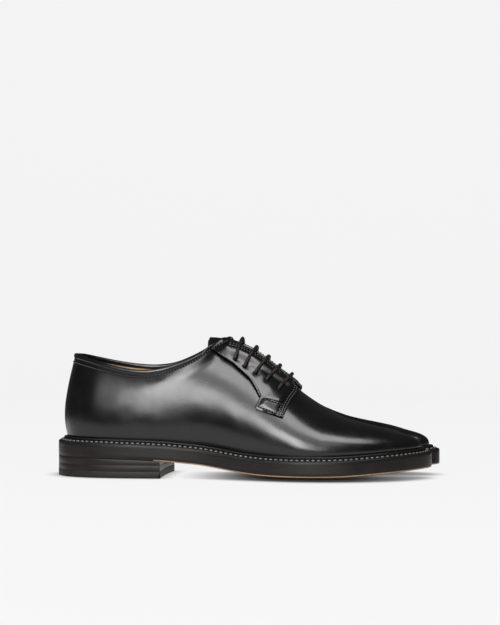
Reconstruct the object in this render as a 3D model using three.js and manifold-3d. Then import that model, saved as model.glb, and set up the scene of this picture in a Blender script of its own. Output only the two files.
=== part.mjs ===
// A right-foot leather derby shoe with a split toe, in millimetres.
// +X runs to the toe, +Y to the big-toe side, +Z up. The origin is on the floor, under the middle of
// the heel. Every closed curve starts at the root of the split and runs forward along the big toe's
// inner wall, round the big toe, back along the inner side, round the heel and forward again.
import * as THREE from "three";
import { mergeVertices } from "three/addons/utils/BufferGeometryUtils.js";
import Module from "manifold-3d";

const wasm = await Module();
wasm.setup();

// Driving sizes.
const LENGTH = 300; // outsole, back of the heel to the big toe's tip
const HEEL = 87; // heel, back to breast
const SEAM = 284.3; // length of the line where the upper meets the welt
const BALL = 92; // width of that line at the ball
const BACK = 92.8; // height of the upper's edge at the back, without its binding
const RIDGE = 105.4; // height of the instep where the collar meets the lacing
const WALL = 2; // leather and lining together
const GAP = 0.3; // between pieces
const SOLE = 9.2; // outsole at its edge
const WELT = 2.8; // flat lip of the welt
const STORM = 3; // ridge of the welt above its lip
const TOP_PIECE = 5;
const LIFT = 4.5;
const INSOLE = 4;
const SPLIT_Y = 11; // middle line of the split
const SPLIT = 7; // width of the split between the two uppers at the welt
const ROOT = 178; // back end of the split at the welt
const LACE = 2.5;
const EYELET = 3.8;

const BACK_X = -HEEL / 2; // back of the outsole
const SEAM_X = BACK_X + 7.1; // back of the seam line
const TOE_X = SEAM_X + SEAM;

// Half widths of the seam line: shares of its length, then shares of the ball width.
const PLAN = [
  { along: 0.0, outer: 0.0, inner: 0.0 },
  { along: 0.03, outer: 0.195, inner: 0.195 },
  { along: 0.08, outer: 0.275, inner: 0.275 },
  { along: 0.15, outer: 0.31, inner: 0.306 },
  { along: 0.25, outer: 0.31, inner: 0.296 },
  { along: 0.35, outer: 0.305, inner: 0.262 },
  { along: 0.42, outer: 0.326, inner: 0.257 },
  { along: 0.5, outer: 0.383, inner: 0.3 },
  { along: 0.6, outer: 0.465, inner: 0.405 },
  { along: 0.66, outer: 0.492, inner: 0.455 },
  { along: 0.73, outer: 0.486, inner: 0.488 },
  { along: 0.8, outer: 0.45, inner: 0.494 },
  { along: 0.87, outer: 0.372, inner: 0.478 },
];
// The two ends: the same shares, with the side as a share of the ball width from the middle line.
const SMALL_TOES = [
  { along: 0.92, side: -0.282 },
  { along: 0.956, side: -0.17 },
  { along: 0.977, side: -0.055 },
  { along: 0.979, side: 0.02 },
  { along: 0.966, side: 0.068 },
];
const BIG_TOE = [
  { along: 0.962, side: 0.168 },
  { along: 0.986, side: 0.203 },
  { along: 1.0, side: 0.278 },
  { along: 0.991, side: 0.345 },
  { along: 0.965, side: 0.405 },
  { along: 0.925, side: 0.452 },
];

// Under the sole: share of the outsole's length, height of its bottom edge and of its middle.
const GROUND = [
  { along: 0.0, edge: 15.4, middle: 15.4 },
  { along: 0.145, edge: 14.6, middle: 14.6 },
  { along: 0.29, edge: 13.2, middle: 13.2 },
  { along: 0.342, edge: 11.9, middle: 11.6 },
  { along: 0.385, edge: 10.8, middle: 10.0 },
  { along: 0.427, edge: 9.0, middle: 7.6 },
  { along: 0.468, edge: 7.0, middle: 4.8 },
  { along: 0.512, edge: 5.2, middle: 2.0 },
  { along: 0.55, edge: 4.2, middle: 0.0 },
  { along: 0.6, edge: 3.6, middle: 0.0 },
  { along: 0.66, edge: 3.4, middle: 0.0 },
  { along: 0.72, edge: 3.5, middle: 0.0 },
  { along: 0.76, edge: 3.9, middle: 0.9 },
  { along: 0.8, edge: 4.6, middle: 2.2 },
  { along: 0.88, edge: 6.4, middle: 4.7 },
  { along: 0.96, edge: 8.1, middle: 7.1 },
  { along: 1.0, edge: 8.8, middle: 8.0 },
];

// Ridge line of the instep and vamp: share of the outsole's length, share of RIDGE, side in mm.
const SPINE = [
  { along: 0.452, side: 2, up: 1.0 },
  { along: 0.478, side: 2, up: 0.968 },
  { along: 0.505, side: 2.2, up: 0.925 },
  { along: 0.537, side: 2.6, up: 0.853 },
  { along: 0.568, side: 3, up: 0.784 },
  { along: 0.6, side: 3.6, up: 0.717 },
  { along: 0.632, side: 4.8, up: 0.648 },
  { along: 0.652, side: 6, up: 0.604 },
  { along: 0.683, side: 8, up: 0.542 },
  { along: 0.7, side: 9, up: 0.514 },
];
// Crests of the two lobes, from the end of that line to where each toe's cap begins.
const BIG_CREST = [
  { along: 0.7, side: 9, up: 0.514 },
  { along: 0.731, side: 15.5, up: 0.473 },
  { along: 0.76, side: 20.5, up: 0.441 },
  { along: 0.795, side: 24.5, up: 0.415 },
  { along: 0.837, side: 27, up: 0.39 },
  { along: 0.878, side: 28, up: 0.364 },
  { along: 0.908, side: 27.5, up: 0.339 },
];
const SMALL_CREST = [
  { along: 0.7, side: 9, up: 0.514 },
  { along: 0.731, side: 3, up: 0.47 },
  { along: 0.76, side: -1.5, up: 0.436 },
  { along: 0.795, side: -5, up: 0.408 },
  { along: 0.837, side: -7, up: 0.381 },
  { along: 0.87, side: -7.5, up: 0.357 },
  { along: 0.895, side: -7, up: 0.335 },
];
// Middles of the two lobes in plan, by the share of their crest: share of the outsole's length, side in mm.
const BIG_MIDDLE = [
  { along: 0, x: 0.688, side: 11 },
  { along: 0.125, x: 0.7117, side: 20 },
  { along: 0.25, x: 0.748, side: 26.5 },
  { along: 0.5, x: 0.822, side: 29.5 },
  { along: 1, x: 0.902, side: 28.5 },
];
const SMALL_MIDDLE = [
  { along: 0, x: 0.688, side: 11 },
  { along: 0.125, x: 0.708, side: 1 },
  { along: 0.25, x: 0.745, side: -7 },
  { along: 0.5, x: 0.815, side: -13 },
  { along: 1, x: 0.892, side: -10 },
];
// Collar, from the ridge back to the heel: shares of the outsole's length and of BACK, sides in mm.
const COLLAR = [
  { along: 0.437, outer: 10.5, outerUp: 1.118, inner: 12.5, innerUp: 1.14 },
  { along: 0.413, outer: 19, outerUp: 1.077, inner: 19.5, innerUp: 1.115 },
  { along: 0.385, outer: 23.5, outerUp: 1.01, inner: 23.5, innerUp: 1.055 },
  { along: 0.345, outer: 27, outerUp: 0.943, inner: 26.5, innerUp: 0.98 },
  { along: 0.295, outer: 30, outerUp: 0.888, inner: 29, innerUp: 0.914 },
  { along: 0.245, outer: 31, outerUp: 0.866, inner: 30, innerUp: 0.893 },
  { along: 0.195, outer: 29.5, outerUp: 0.88, inner: 29, innerUp: 0.902 },
  { along: 0.145, outer: 26, outerUp: 0.917, inner: 26, innerUp: 0.927 },
  { along: 0.1, outer: 20.8, outerUp: 0.956, inner: 20.8, innerUp: 0.959 },
  { along: 0.06, outer: 13, outerUp: 0.99, inner: 13, innerUp: 0.99 },
  { along: 0.0415, outer: 0, outerUp: 1.0, inner: 0, innerUp: 1.0 },
];

// Ribs of the upper, in order round the seam line. foot: where the rib stands, as a share of the seam's
// length on that stretch. Until the next row there are so many ribs, whose top ends move along a
// line from one share of it to another. lean: degrees outward at the foot. rise and crown: handle
// lengths as shares of the rib's straight length.
const RIB_COLUMNS = ["side", "foot", "ribs", "line", "from", "to", "lean", "rise", "crown"];
const RIBS = [
  ["bigWall", 0, 2, "bigCrest", 0, 0, 4, 0.52, 0.24],
  ["bigWall", 0.77, 4, "bigCrest", 0, 0.5, 6, 0.52, 0.24],
  ["bigWall", 0.85, 4, "bigCrest", 0.5, 1, 10, 0.45, 0.3],
  ["bigWall", 0.935, 4, "bigCrest", 1, 1, 12, 0.4, 0.36],
  ["inner", 1, 4, "bigCrest", 1, 1, 12, 0.42, 0.4],
  ["inner", 0.925, 4, "bigCrest", 1, 0.5, 14, 0.4, 0.38],
  ["inner", 0.83, 4, "bigCrest", 0.5, 0, 16, 0.38, 0.36],
  ["inner", 0.715, 3, "spine", 1, 0.7, 16, 0.38, 0.34],
  ["inner", 0.64, 3, "spine", 0.7, 0.3, 18, 0.38, 0.32],
  ["inner", 0.55, 3, "spine", 0.3, 0, 24, 0.42, 0.28],
  ["inner", 0.465, 4, "innerCollar", 0, 0.22, 27, 0.44, 0.25],
  ["inner", 0.37, 3, "innerCollar", 0.22, 0.42, 26, 0.4, 0.26],
  ["inner", 0.28, 4, "innerCollar", 0.42, 0.75, 20, 0.38, 0.3],
  ["inner", 0.12, 4, "innerCollar", 0.75, 1, 18, 0.37, 0.36],
  ["outer", 0, 4, "outerCollar", 1, 0.75, 21, 0.37, 0.37],
  ["outer", 0.12, 4, "outerCollar", 0.75, 0.42, 18, 0.37, 0.36],
  ["outer", 0.28, 3, "outerCollar", 0.42, 0.22, 19, 0.38, 0.3],
  ["outer", 0.37, 4, "outerCollar", 0.22, 0, 22, 0.4, 0.26],
  ["outer", 0.465, 3, "spine", 0, 0.3, 24, 0.44, 0.27],
  ["outer", 0.55, 3, "spine", 0.3, 0.7, 20, 0.42, 0.3],
  ["outer", 0.64, 3, "spine", 0.7, 1, 16, 0.38, 0.34],
  ["outer", 0.715, 4, "smallCrest", 0, 0.5, 15, 0.36, 0.36],
  ["outer", 0.825, 4, "smallCrest", 0.5, 1, 15, 0.34, 0.42],
  ["outer", 0.905, 5, "smallCrest", 1, 1, 14, 0.36, 0.42],
  ["smallWall", 0.979, 4, "smallCrest", 1, 1, 13, 0.4, 0.4],
  ["smallWall", 0.935, 4, "smallCrest", 1, 0.5, 12, 0.4, 0.36],
  ["smallWall", 0.85, 4, "smallCrest", 0.5, 0, 10, 0.45, 0.3],
  ["smallWall", 0.77, 2, "smallCrest", 0, 0, 6, 0.52, 0.24],
  ["smallWall", 0, 0, "smallCrest", 0, 0, 4, 0.52, 0.24],
].map((row) => Object.fromEntries(row.map((value, i) => [RIB_COLUMNS[i], value])));
// Degrees above level at which a rib reaches the collar, by the share of the collar's line.
const CLIMB = [
  { along: 0, climb: 0 },
  { along: 0.22, climb: 62 },
  { along: 0.42, climb: 78 },
  { along: 0.75, climb: 76 },
  { along: 1, climb: 70 },
];
const STEPS = 8; // steps up each rib

const V = (x, y, z = 0) => new THREE.Vector3(x, y, z);
const lerp = THREE.MathUtils.lerp;
const ease = (x, from, to) => THREE.MathUtils.smoothstep((x - from) / (to - from), 0, 1);

// A table's column at any share, by cubic pieces whose slopes are held so that nothing overshoots.
function column(table, name, along) {
  const x = table.map((row) => row.along);
  const y = table.map((row) => row[name]);
  const n = x.length;
  if (along <= x[0]) return y[0];
  if (along >= x[n - 1]) return y[n - 1];
  const grade = (i) => (y[i + 1] - y[i]) / (x[i + 1] - x[i]);
  const slope = (i) => {
    if (i === 0) return grade(0);
    if (i === n - 1) return grade(n - 2);
    const [a, b] = [grade(i - 1), grade(i)];
    return a * b <= 0 ? 0 : (2 * a * b) / (a + b);
  };
  let i = 0;
  while (along > x[i + 1]) i++;
  const h = x[i + 1] - x[i];
  const t = (along - x[i]) / h;
  return (
    y[i] * (1 + 2 * t) * (1 - t) ** 2 +
    y[i + 1] * t * t * (3 - 2 * t) +
    h * slope(i) * t * (1 - t) ** 2 +
    h * slope(i + 1) * t * t * (t - 1)
  );
}

// Heights along the shoe.
const shareOf = (x) => (x - BACK_X) / LENGTH;
const edgeZ = (x) => column(GROUND, "edge", shareOf(x));
const middleZ = (x) => column(GROUND, "middle", shareOf(x));
const soleTop = (x) => edgeZ(x) + SOLE;
const lipTop = (x) => soleTop(x) + GAP + WELT;
const stormTop = (x) => lipTop(x) + STORM;

// The seam line as a fine closed loop of {p, n}, n pointing out of the shoe.
function seamLoop() {
  const at = (row, side) => V(SEAM_X + row.along * SEAM, side * BALL);
  const half = SPLIT / 2;
  const wall = (x, sign) => V(x, SPLIT_Y + sign * half);
  const body = [
    ...BIG_TOE.map((row) => at(row, row.side)),
    ...PLAN.slice(1).reverse().map((row) => at(row, row.inner)),
    at(PLAN[0], 0),
    ...PLAN.slice(1).map((row) => at(row, -row.outer)),
    ...SMALL_TOES.map((row) => at(row, row.side)),
  ];
  const front = TOE_X - 18;
  const curve = new THREE.CatmullRomCurve3(
    [wall(front - 6, 1), wall(front, 1), ...body, wall(front - 3, -1), wall(front - 9, -1)],
    false,
    "centripetal",
  );
  const points = [];
  for (let i = 0; i <= 8; i++) {
    const a = (i / 8) * (Math.PI / 2);
    points.push(V(ROOT + half - half * Math.cos(a), SPLIT_Y + half * Math.sin(a)));
  }
  for (let x = ROOT + half + 4; x < front - 7; x += 4) points.push(wall(x, 1));
  points.push(...curve.getSpacedPoints(420));
  for (let x = front - 13; x > ROOT + half + 1; x -= 4) points.push(wall(x, -1));
  for (let i = 8; i > 0; i--) {
    const a = (i / 8) * (Math.PI / 2);
    points.push(V(ROOT + half - half * Math.cos(a), SPLIT_Y - half * Math.sin(a)));
  }
  const arc = [0];
  for (let i = 1; i <= points.length; i++)
    arc.push(arc[i - 1] + points[i % points.length].distanceTo(points[i - 1]));
  return { points, arc, total: arc[points.length] };
}
const seam = seamLoop();
function onSeam(s) {
  const n = seam.points.length;
  const d = ((s % seam.total) + seam.total) % seam.total;
  let [lo, hi] = [0, n];
  while (hi - lo > 1) {
    const m = (lo + hi) >> 1;
    if (seam.arc[m] <= d) lo = m;
    else hi = m;
  }
  const t = (d - seam.arc[lo]) / (seam.arc[hi] - seam.arc[lo] || 1);
  return seam.points[lo].clone().lerp(seam.points[hi % n], t);
}
function outOfSeam(s) {
  const d = onSeam(s + 0.8).sub(onSeam(s - 0.8)).normalize();
  return V(d.y, -d.x);
}
// Distances along the seam line of the big toe's tip, the heel and the small toes' tip.
const marks = (() => {
  let [tip, heel, small] = [0, 0, 0];
  seam.points.forEach((p, i) => {
    if (p.y > SPLIT_Y && p.x > seam.points[tip].x) tip = i;
    if (p.x < seam.points[heel].x) heel = i;
  });
  small = heel;
  seam.points.forEach((p, i) => {
    if (i > heel && p.x > seam.points[small].x) small = i;
  });
  return { tip: seam.arc[tip], heel: seam.arc[heel], small: seam.arc[small] };
})();
const STRETCH = {
  bigWall: [0, marks.tip],
  inner: [marks.tip, marks.heel],
  outer: [marks.heel, marks.small],
  smallWall: [marks.small, seam.total],
};
function footOf(side, share) {
  let [lo, hi] = STRETCH[side];
  if (share === 0) return side === "smallWall" ? hi : lo;
  if (share === 1) return lo;
  const x = SEAM_X + share * SEAM;
  const forward = side === "bigWall" || side === "outer";
  for (let i = 0; i < 40; i++) {
    const m = (lo + hi) / 2;
    if (onSeam(m).x < x === forward) lo = m;
    else hi = m;
  }
  return (lo + hi) / 2;
}
// How far the sole reaches out of the seam line: least in the split, most at the toes.
function reachAt(s) {
  const p = onSeam(s);
  const full = 7.1 + 1.5 * ease(p.x, 60, 220);
  const split = p.x > ROOT - 1 && (s < marks.tip || s > marks.small);
  if (split && p.x < ROOT + 12) return 2.2;
  return split ? lerp(2.2, full, ease(outOfSeam(s).x, 0.45, 1)) : full;
}

// The lines that the ribs end on.
const placed = (row, side, z) => V(BACK_X + row.along * LENGTH, side, z);
const through = (points) => new THREE.CatmullRomCurve3(points, false, "centripetal");
const plain = (table) => through(table.map((row) => placed(row, row.side, row.up * RIDGE)));
const peak = placed(SPINE[0], SPINE[0].side, RIDGE);
const LINES = {
  spine: plain(SPINE),
  bigCrest: plain(BIG_CREST),
  smallCrest: plain(SMALL_CREST),
  innerCollar: through([peak, ...COLLAR.map((r) => placed(r, r.inner, r.innerUp * BACK))]),
  outerCollar: through([peak, ...COLLAR.map((r) => placed(r, -r.outer, r.outerUp * BACK))]),
};
function middleAt(line, at) {
  if (line.endsWith("Collar")) return V(lerp(peak.x, SEAM_X + 22, at), lerp(peak.y, 0, at));
  if (line === "spine") {
    const p = LINES.spine.getPointAt(at);
    const end = BIG_MIDDLE[0];
    return V(lerp(p.x, BACK_X + end.x * LENGTH, at ** 4), lerp(p.y, end.side, at ** 4));
  }
  const table = line === "bigCrest" ? BIG_MIDDLE : SMALL_MIDDLE;
  return V(BACK_X + column(table, "x", at) * LENGTH, column(table, "side", at));
}
// One rib: its place on the seam line, its top end, and its curve above the welt.
function makeRib(s, line, at, row) {
  const foot = onSeam(s);
  const out = outOfSeam(s);
  const top = LINES[line].getPointAt(at);
  const run = LINES[line].getTangentAt(THREE.MathUtils.clamp(at, 0.002, 0.998));
  const collar = line.endsWith("Collar");
  const low = V(foot.x, foot.y, stormTop(foot.x) - 0.4);
  const inward = V(top.x - foot.x, top.y - foot.y).normalize();
  const fall = collar ? -0.6 * (1 - ease(at, 0, 0.2)) : run.z / run.x;
  const climb = collar ? THREE.MathUtils.degToRad(column(CLIMB, "climb", at)) : 0;
  const arrive = V(inward.x, inward.y, fall * inward.x).normalize();
  arrive.multiplyScalar(Math.cos(climb)).add(V(0, 0, Math.sin(climb)));
  const lean = THREE.MathUtils.degToRad(row.lean);
  const leave = out.clone().multiplyScalar(Math.sin(lean)).setZ(Math.cos(lean));
  const span = low.distanceTo(top);
  const above = new THREE.CubicBezierCurve3(
    low,
    low.clone().addScaledVector(leave, row.rise * span),
    top.clone().addScaledVector(arrive, -row.crown * span),
    top,
  );
  // The middle of the shoe's plan that this rib looks at.
  const middle = middleAt(line, at);
  return { s, line, at, row, foot, out, top, middle, above };
}
const ribs = RIBS.slice(0, -1).flatMap((row, i) => {
  const next = RIBS[i + 1];
  const s0 = footOf(row.side, row.foot);
  const s1 = footOf(next.side, next.foot);
  return Array.from({ length: row.ribs }, (_, k) => {
    const t = k / row.ribs;
    const mix = {};
    for (const name of ["lean", "rise", "crown"]) mix[name] = lerp(row[name], next[name], t);
    return makeRib(lerp(s0, s1, t), row.line, lerp(row.from, row.to, t), mix);
  });
});
const RING = ribs.length;
const wrap = (i) => (i + RING) % RING;

// The way out of the leather at a share t of a rib, from its neighbours.
function normalOn(i, t) {
  const [a, b] = [ribs[wrap(i - 1)].above.getPoint(t), ribs[wrap(i + 1)].above.getPoint(t)];
  const up = ribs[i].above.getTangent(t);
  return b.sub(a).cross(up).normalize();
}
// At a shared top end the ways out of all its ribs are averaged.
const crownNormals = new Map();
const keyOf = (p) => [p.x, p.y, p.z].map((c) => c.toFixed(2)).join();
ribs.forEach((rib, i) => {
  const key = keyOf(rib.top);
  const sum = crownNormals.get(key) || V(0, 0);
  crownNormals.set(key, sum.add(normalOn(i, 0.97)));
});
function wayOut(i, t) {
  const n = t > 0.999 ? crownNormals.get(keyOf(ribs[i].top)).clone().normalize() : normalOn(i, t);
  if (t < 0.12) n.lerp(ribs[i].out, 1 - t / 0.12).normalize();
  return n;
}
// A point of the leather at a share t of rib i, so far out of the upper's outer face.
const leather = (i, t, off) => ribs[i].above.getPoint(t).addScaledVector(wayOut(i, t), off);

// Closed bodies from a grid of points.
function bodyOf(points, faces) {
  const g = new THREE.BufferGeometry();
  const data = faces.flatMap((f) => f.flatMap((i) => points[i].toArray()));
  g.setAttribute("position", new THREE.Float32BufferAttribute(data, 3));
  const merged = mergeVertices(g, 1e-3);
  const index = [];
  for (let k = 0; k < merged.index.count; k += 3) {
    const [a, b, c] = [0, 1, 2].map((j) => merged.index.getX(k + j));
    if (a !== b && b !== c && c !== a) index.push(a, b, c);
  }
  merged.setIndex(index);
  return merged;
}
// rows of points; each row closes on itself where closed is set, and quads join row to row, each cut
// along its shorter diagonal.
function sheetFaces(rows, closed, start = 0) {
  const faces = [];
  const n = rows[0].length;
  for (let j = 0; j + 1 < rows.length; j++)
    for (let i = 0; i < (closed ? n : n - 1); i++) {
      const k = (i + 1) % n;
      const [a, b, c, d] = [j * n + i, j * n + k, (j + 1) * n + k, (j + 1) * n + i].map((q) => q + start);
      const first = rows[j][i].distanceTo(rows[j + 1][k]) <= rows[j][k].distanceTo(rows[j + 1][i]);
      if (first) faces.push([a, b, c], [a, c, d]);
      else faces.push([a, b, d], [b, c, d]);
    }
  return faces;
}
// A ring whose section is a closed loop: rows go round the section, and the last joins the first.
function ringBody(rows) {
  const points = rows.flat();
  const faces = sheetFaces([...rows, rows[0]], true);
  return bodyOf(points, faces.map((f) => f.map((i) => i % points.length)));
}
// A plate between two grids of the same size, with walls round its edge.
function plateBody(outer, inner) {
  const [h, w] = [outer.length, outer[0].length];
  const points = [...outer.flat(), ...inner.flat()];
  const faces = sheetFaces(outer, false);
  faces.push(...sheetFaces(inner, false, h * w).map(([a, b, c]) => [a, c, b]));
  const rim = [];
  for (let i = 0; i < w - 1; i++) rim.push(i);
  for (let j = 0; j < h - 1; j++) rim.push(j * w + w - 1);
  for (let i = w - 1; i > 0; i--) rim.push((h - 1) * w + i);
  for (let j = h - 1; j > 0; j--) rim.push(j * w);
  rim.forEach((a, k) => {
    const b = rim[(k + 1) % rim.length];
    faces.push([a, b + h * w, b], [a, a + h * w, b + h * w]);
  });
  return bodyOf(points, faces);
}
// Booleans.
function solid(geometry) {
  const flat = geometry.clone();
  for (const name of Object.keys(flat.attributes)) if (name !== "position") flat.deleteAttribute(name);
  const merged = mergeVertices(flat, 1e-3);
  return new wasm.Manifold(
    new wasm.Mesh({
      numProp: 3,
      vertProperties: merged.attributes.position.array,
      triVerts: new Uint32Array(merged.index.array),
    }),
  );
}
function geometryOf(body) {
  const m = body.getMesh();
  const g = new THREE.BufferGeometry();
  const data = new Float32Array(m.numVert * 3);
  for (let i = 0; i < m.numVert; i++)
    data.set(m.vertProperties.subarray(i * m.numProp, i * m.numProp + 3), i * 3);
  g.setAttribute("position", new THREE.BufferAttribute(data, 3));
  g.setIndex(new THREE.BufferAttribute(m.triVerts, 1));
  return g;
}

// Upper: the outer face and the face a wall's thickness inside it, joined at the foot and the collar.
function upperBody() {
  const levels = Array.from({ length: STEPS + 1 }, (_, j) => j / STEPS);
  const face = (off) => [
    ribs.map((r) => r.foot.clone().addScaledVector(r.out, off).setZ(soleTop(r.foot.x) + GAP)),
    ...levels.map((t) => ribs.map((_, i) => leather(i, t, off))),
  ];
  const outside = face(0);
  const inside = face(-WALL);
  const n = RING;
  const rows = outside.length;
  const points = [...outside.flat(), ...inside.flat()];
  const faces = sheetFaces(outside, true);
  faces.push(...sheetFaces(inside, true, rows * n).map(([a, b, c]) => [a, c, b]));
  for (let i = 0; i < n; i++) {
    const k = (i + 1) % n;
    faces.push([i, i + rows * n, k], [k, i + rows * n, k + rows * n]);
    const collar = (q) => ribs[q].line.endsWith("Collar") || (ribs[q].line === "spine" && ribs[q].at === 0);
    if (!collar(i) || !collar(k)) continue;
    const [a, b] = [(rows - 1) * n + i, (rows - 1) * n + k];
    faces.push([a, b, a + rows * n], [b, b + rows * n, a + rows * n]);
  }
  return bodyOf(points, faces);
}

// Ribs between those of the ring, for what lies on the leather. w runs down the lacing from 0, where
// the collar meets the ridge, to 1, where the lobes part, and is negative along the collar.
const strips = { inner: [], outer: [] };
ribs.forEach((rib) => {
  if (rib.line === "spine" || rib.line.endsWith("Collar")) {
    const side = rib.s < marks.heel - 1e-6 ? "inner" : "outer";
    strips[side].push({ w: rib.line === "spine" ? rib.at : -rib.at, s: rib.s, row: rib.row });
  }
});
strips.inner.reverse();
function between(side, w) {
  const strip = strips[side];
  let k = 1;
  while (k < strip.length - 1 && strip[k].w < w) k++;
  const [a, b] = [strip[k - 1], strip[k]];
  const t = (w - a.w) / (b.w - a.w);
  const row = {};
  for (const name of ["lean", "rise", "crown"]) row[name] = lerp(a.row[name], b.row[name], t);
  return makeRib(lerp(a.s, b.s, t), w < 0 ? side + "Collar" : "spine", Math.min(Math.abs(w), 1), row);
}
// The rib at w, with the share of it that has a given side, and a point so far out of the leather.
function laid(side, w) {
  const rib = between(side, w);
  const [before, after] = [between(side, w - 0.02), between(side, w + 0.02)];
  const turn = side === "outer" ? 1 : -1;
  const shareAt = (y) => {
    let [lo, hi] = [0.25, 1];
    for (let i = 0; i < 30; i++) {
      const m = (lo + hi) / 2;
      if ((rib.above.getPoint(m).y - y) * turn < 0) lo = m;
      else hi = m;
    }
    return (lo + hi) / 2;
  };
  const point = (t, off) => {
    const along = after.above.getPoint(t).sub(before.above.getPoint(t)).multiplyScalar(turn);
    const n = along.cross(rib.above.getTangent(t)).normalize();
    return rib.above.getPoint(t).addScaledVector(n, off);
  };
  return { rib, shareAt, point };
}

// Lacing: sides of the gap between the flaps, of the tongue under them and of the eyelet rows.
const FLAP = { outer: -6, inner: 7, thick: 2.1, under: 0.8 };
const TONGUE = { outer: -11, inner: 11.5, thick: 2, front: 0.735 };
// Eyelets from the top: place down the lacing of the hole and of its bar on the ridge, sides in mm.
const HOLES = [
  { eye: 0.067, over: 0.095, outer: -17.5, inner: 18 },
  { eye: 0.165, over: 0.223, outer: -20, inner: 20 },
  { eye: 0.272, over: 0.351, outer: -21.5, inner: 21.5 },
  { eye: 0.392, over: 0.478, outer: -22.5, inner: 22.5 },
  { eye: 0.53, over: 0.606, outer: -23, inner: 23 },
];
const flapLift = (y) => {
  const edge = y < 2 ? TONGUE.outer - y : y - TONGUE.inner;
  return (TONGUE.thick + GAP) * (1 - ease(edge, 0.6, 7));
};
const tongueLift = (w) => lerp(TONGUE.thick, 0.5, ease(w, 0.62, TONGUE.front));

// Grid over the ridge from one side to the other, rows from the toe end up and on past the collar.
const PAST = [
  { back: 6, up: 0.6 },
  { back: 11, up: 0.6 },
  { back: 16, up: 0.2 },
];
function ridgeGrid(front, wide, offset, past = 1) {
  const rows = [];
  const across = (w) => {
    const half = ["outer", "inner"].map((side) => {
      const on = laid(side, w);
      const t = on.shareAt(TONGUE[side] + (side === "outer" ? -wide : wide));
      return [0, 0.22, 0.45, 0.7].map((q) => on.point(lerp(t, 1, q), offset(w)));
    });
    return [...half[0], laid("outer", w).point(1, offset(w)), ...half[1].reverse()];
  };
  for (let k = 0; k <= 11; k++) rows.push(across(lerp(front, 0.002, k / 11)));
  const last = rows[rows.length - 1];
  for (const step of PAST)
    rows.push(last.map((p) => p.clone().add(V(-step.back * past, 0, step.up))));
  return rows;
}
const tongueBody = () => {
  const outside = ridgeGrid(TONGUE.front, 0, tongueLift);
  const inside = ridgeGrid(TONGUE.front, 0, () => -WALL);
  return plateBody(outside, inside);
};
const throatCutter = () =>
  plateBody(
    ridgeGrid(TONGUE.front + 0.006, 0.7, () => 6, 1.6),
    ridgeGrid(TONGUE.front + 0.006, 0.7, () => -6, 1.6),
  );

// Outline of a lacing flap seen from the side: its front edge, its square tab and its back edge.
const FLAP_SHAPE = [
  { along: 0.65, up: 1.2 },
  { along: 0.65, up: 0.72 },
  { along: 0.643, up: 0.685 },
  { along: 0.6395, up: 0.64 },
  { along: 0.628, up: 0.588 },
  { along: 0.6145, up: 0.5 },
  { along: 0.609, up: 0.456 },
  { along: 0.5345, up: 0.518 },
  { along: 0.5475, up: 0.6 },
  { along: 0.5439, up: 0.62 },
  { along: 0.5354, up: 0.664 },
  { along: 0.5197, up: 0.729 },
  { along: 0.4983, up: 0.781 },
  { along: 0.4725, up: 0.842 },
  { along: 0.4435, up: 0.891 },
  { along: 0.417, up: 0.945 },
  { along: 0.395, up: 1.01 },
  { along: 0.395, up: 1.2 },
];
function flapBody(side) {
  const sign = side === "outer" ? -1 : 1;
  const rows = { top: [], under: [] };
  for (let k = 0; k <= 14; k++) {
    const on = laid(side, lerp(-0.3, 0.86, k / 14));
    const stop = on.shareAt(FLAP[side]);
    const shares = Array.from({ length: 8 }, (_, q) => lerp(0.26, stop, q / 7));
    const lift = (t) => FLAP.under + flapLift(on.rib.above.getPoint(t).y);
    rows.under.push(shares.map((t) => on.point(t, lift(t))));
    rows.top.push(shares.map((t) => on.point(t, lift(t) + FLAP.thick)));
  }
  const plate = side === "outer" ? [rows.top, rows.under] : [rows.under, rows.top];
  let body = solid(plateBody(...plate.map((g) => g.map((r) => [...r].reverse()))));
  const shape = new THREE.Shape(
    FLAP_SHAPE.map((row) => new THREE.Vector2(BACK_X + row.along * LENGTH, row.up * RIDGE)),
  );
  const prism = new THREE.ExtrudeGeometry(shape, { depth: 70, bevelEnabled: false });
  prism.rotateX(Math.PI / 2).translate(0, sign < 0 ? -1 : 71, 0);
  body = body.intersect(solid(prism));
  for (const hole of HOLES) {
    const on = laid(side, hole.eye);
    const t = on.shareAt(hole[side]);
    const [low, high] = [on.point(t, -1), on.point(t, 9)];
    const drill = new THREE.CylinderGeometry(EYELET / 2, EYELET / 2, 10, 10);
    const turn = new THREE.Quaternion().setFromUnitVectors(V(0, 1), high.clone().sub(low).normalize());
    drill.applyQuaternion(turn).translate(...low.clone().lerp(high, 0.5).toArray());
    body = body.subtract(solid(drill));
  }
  return geometryOf(body);
}

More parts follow.
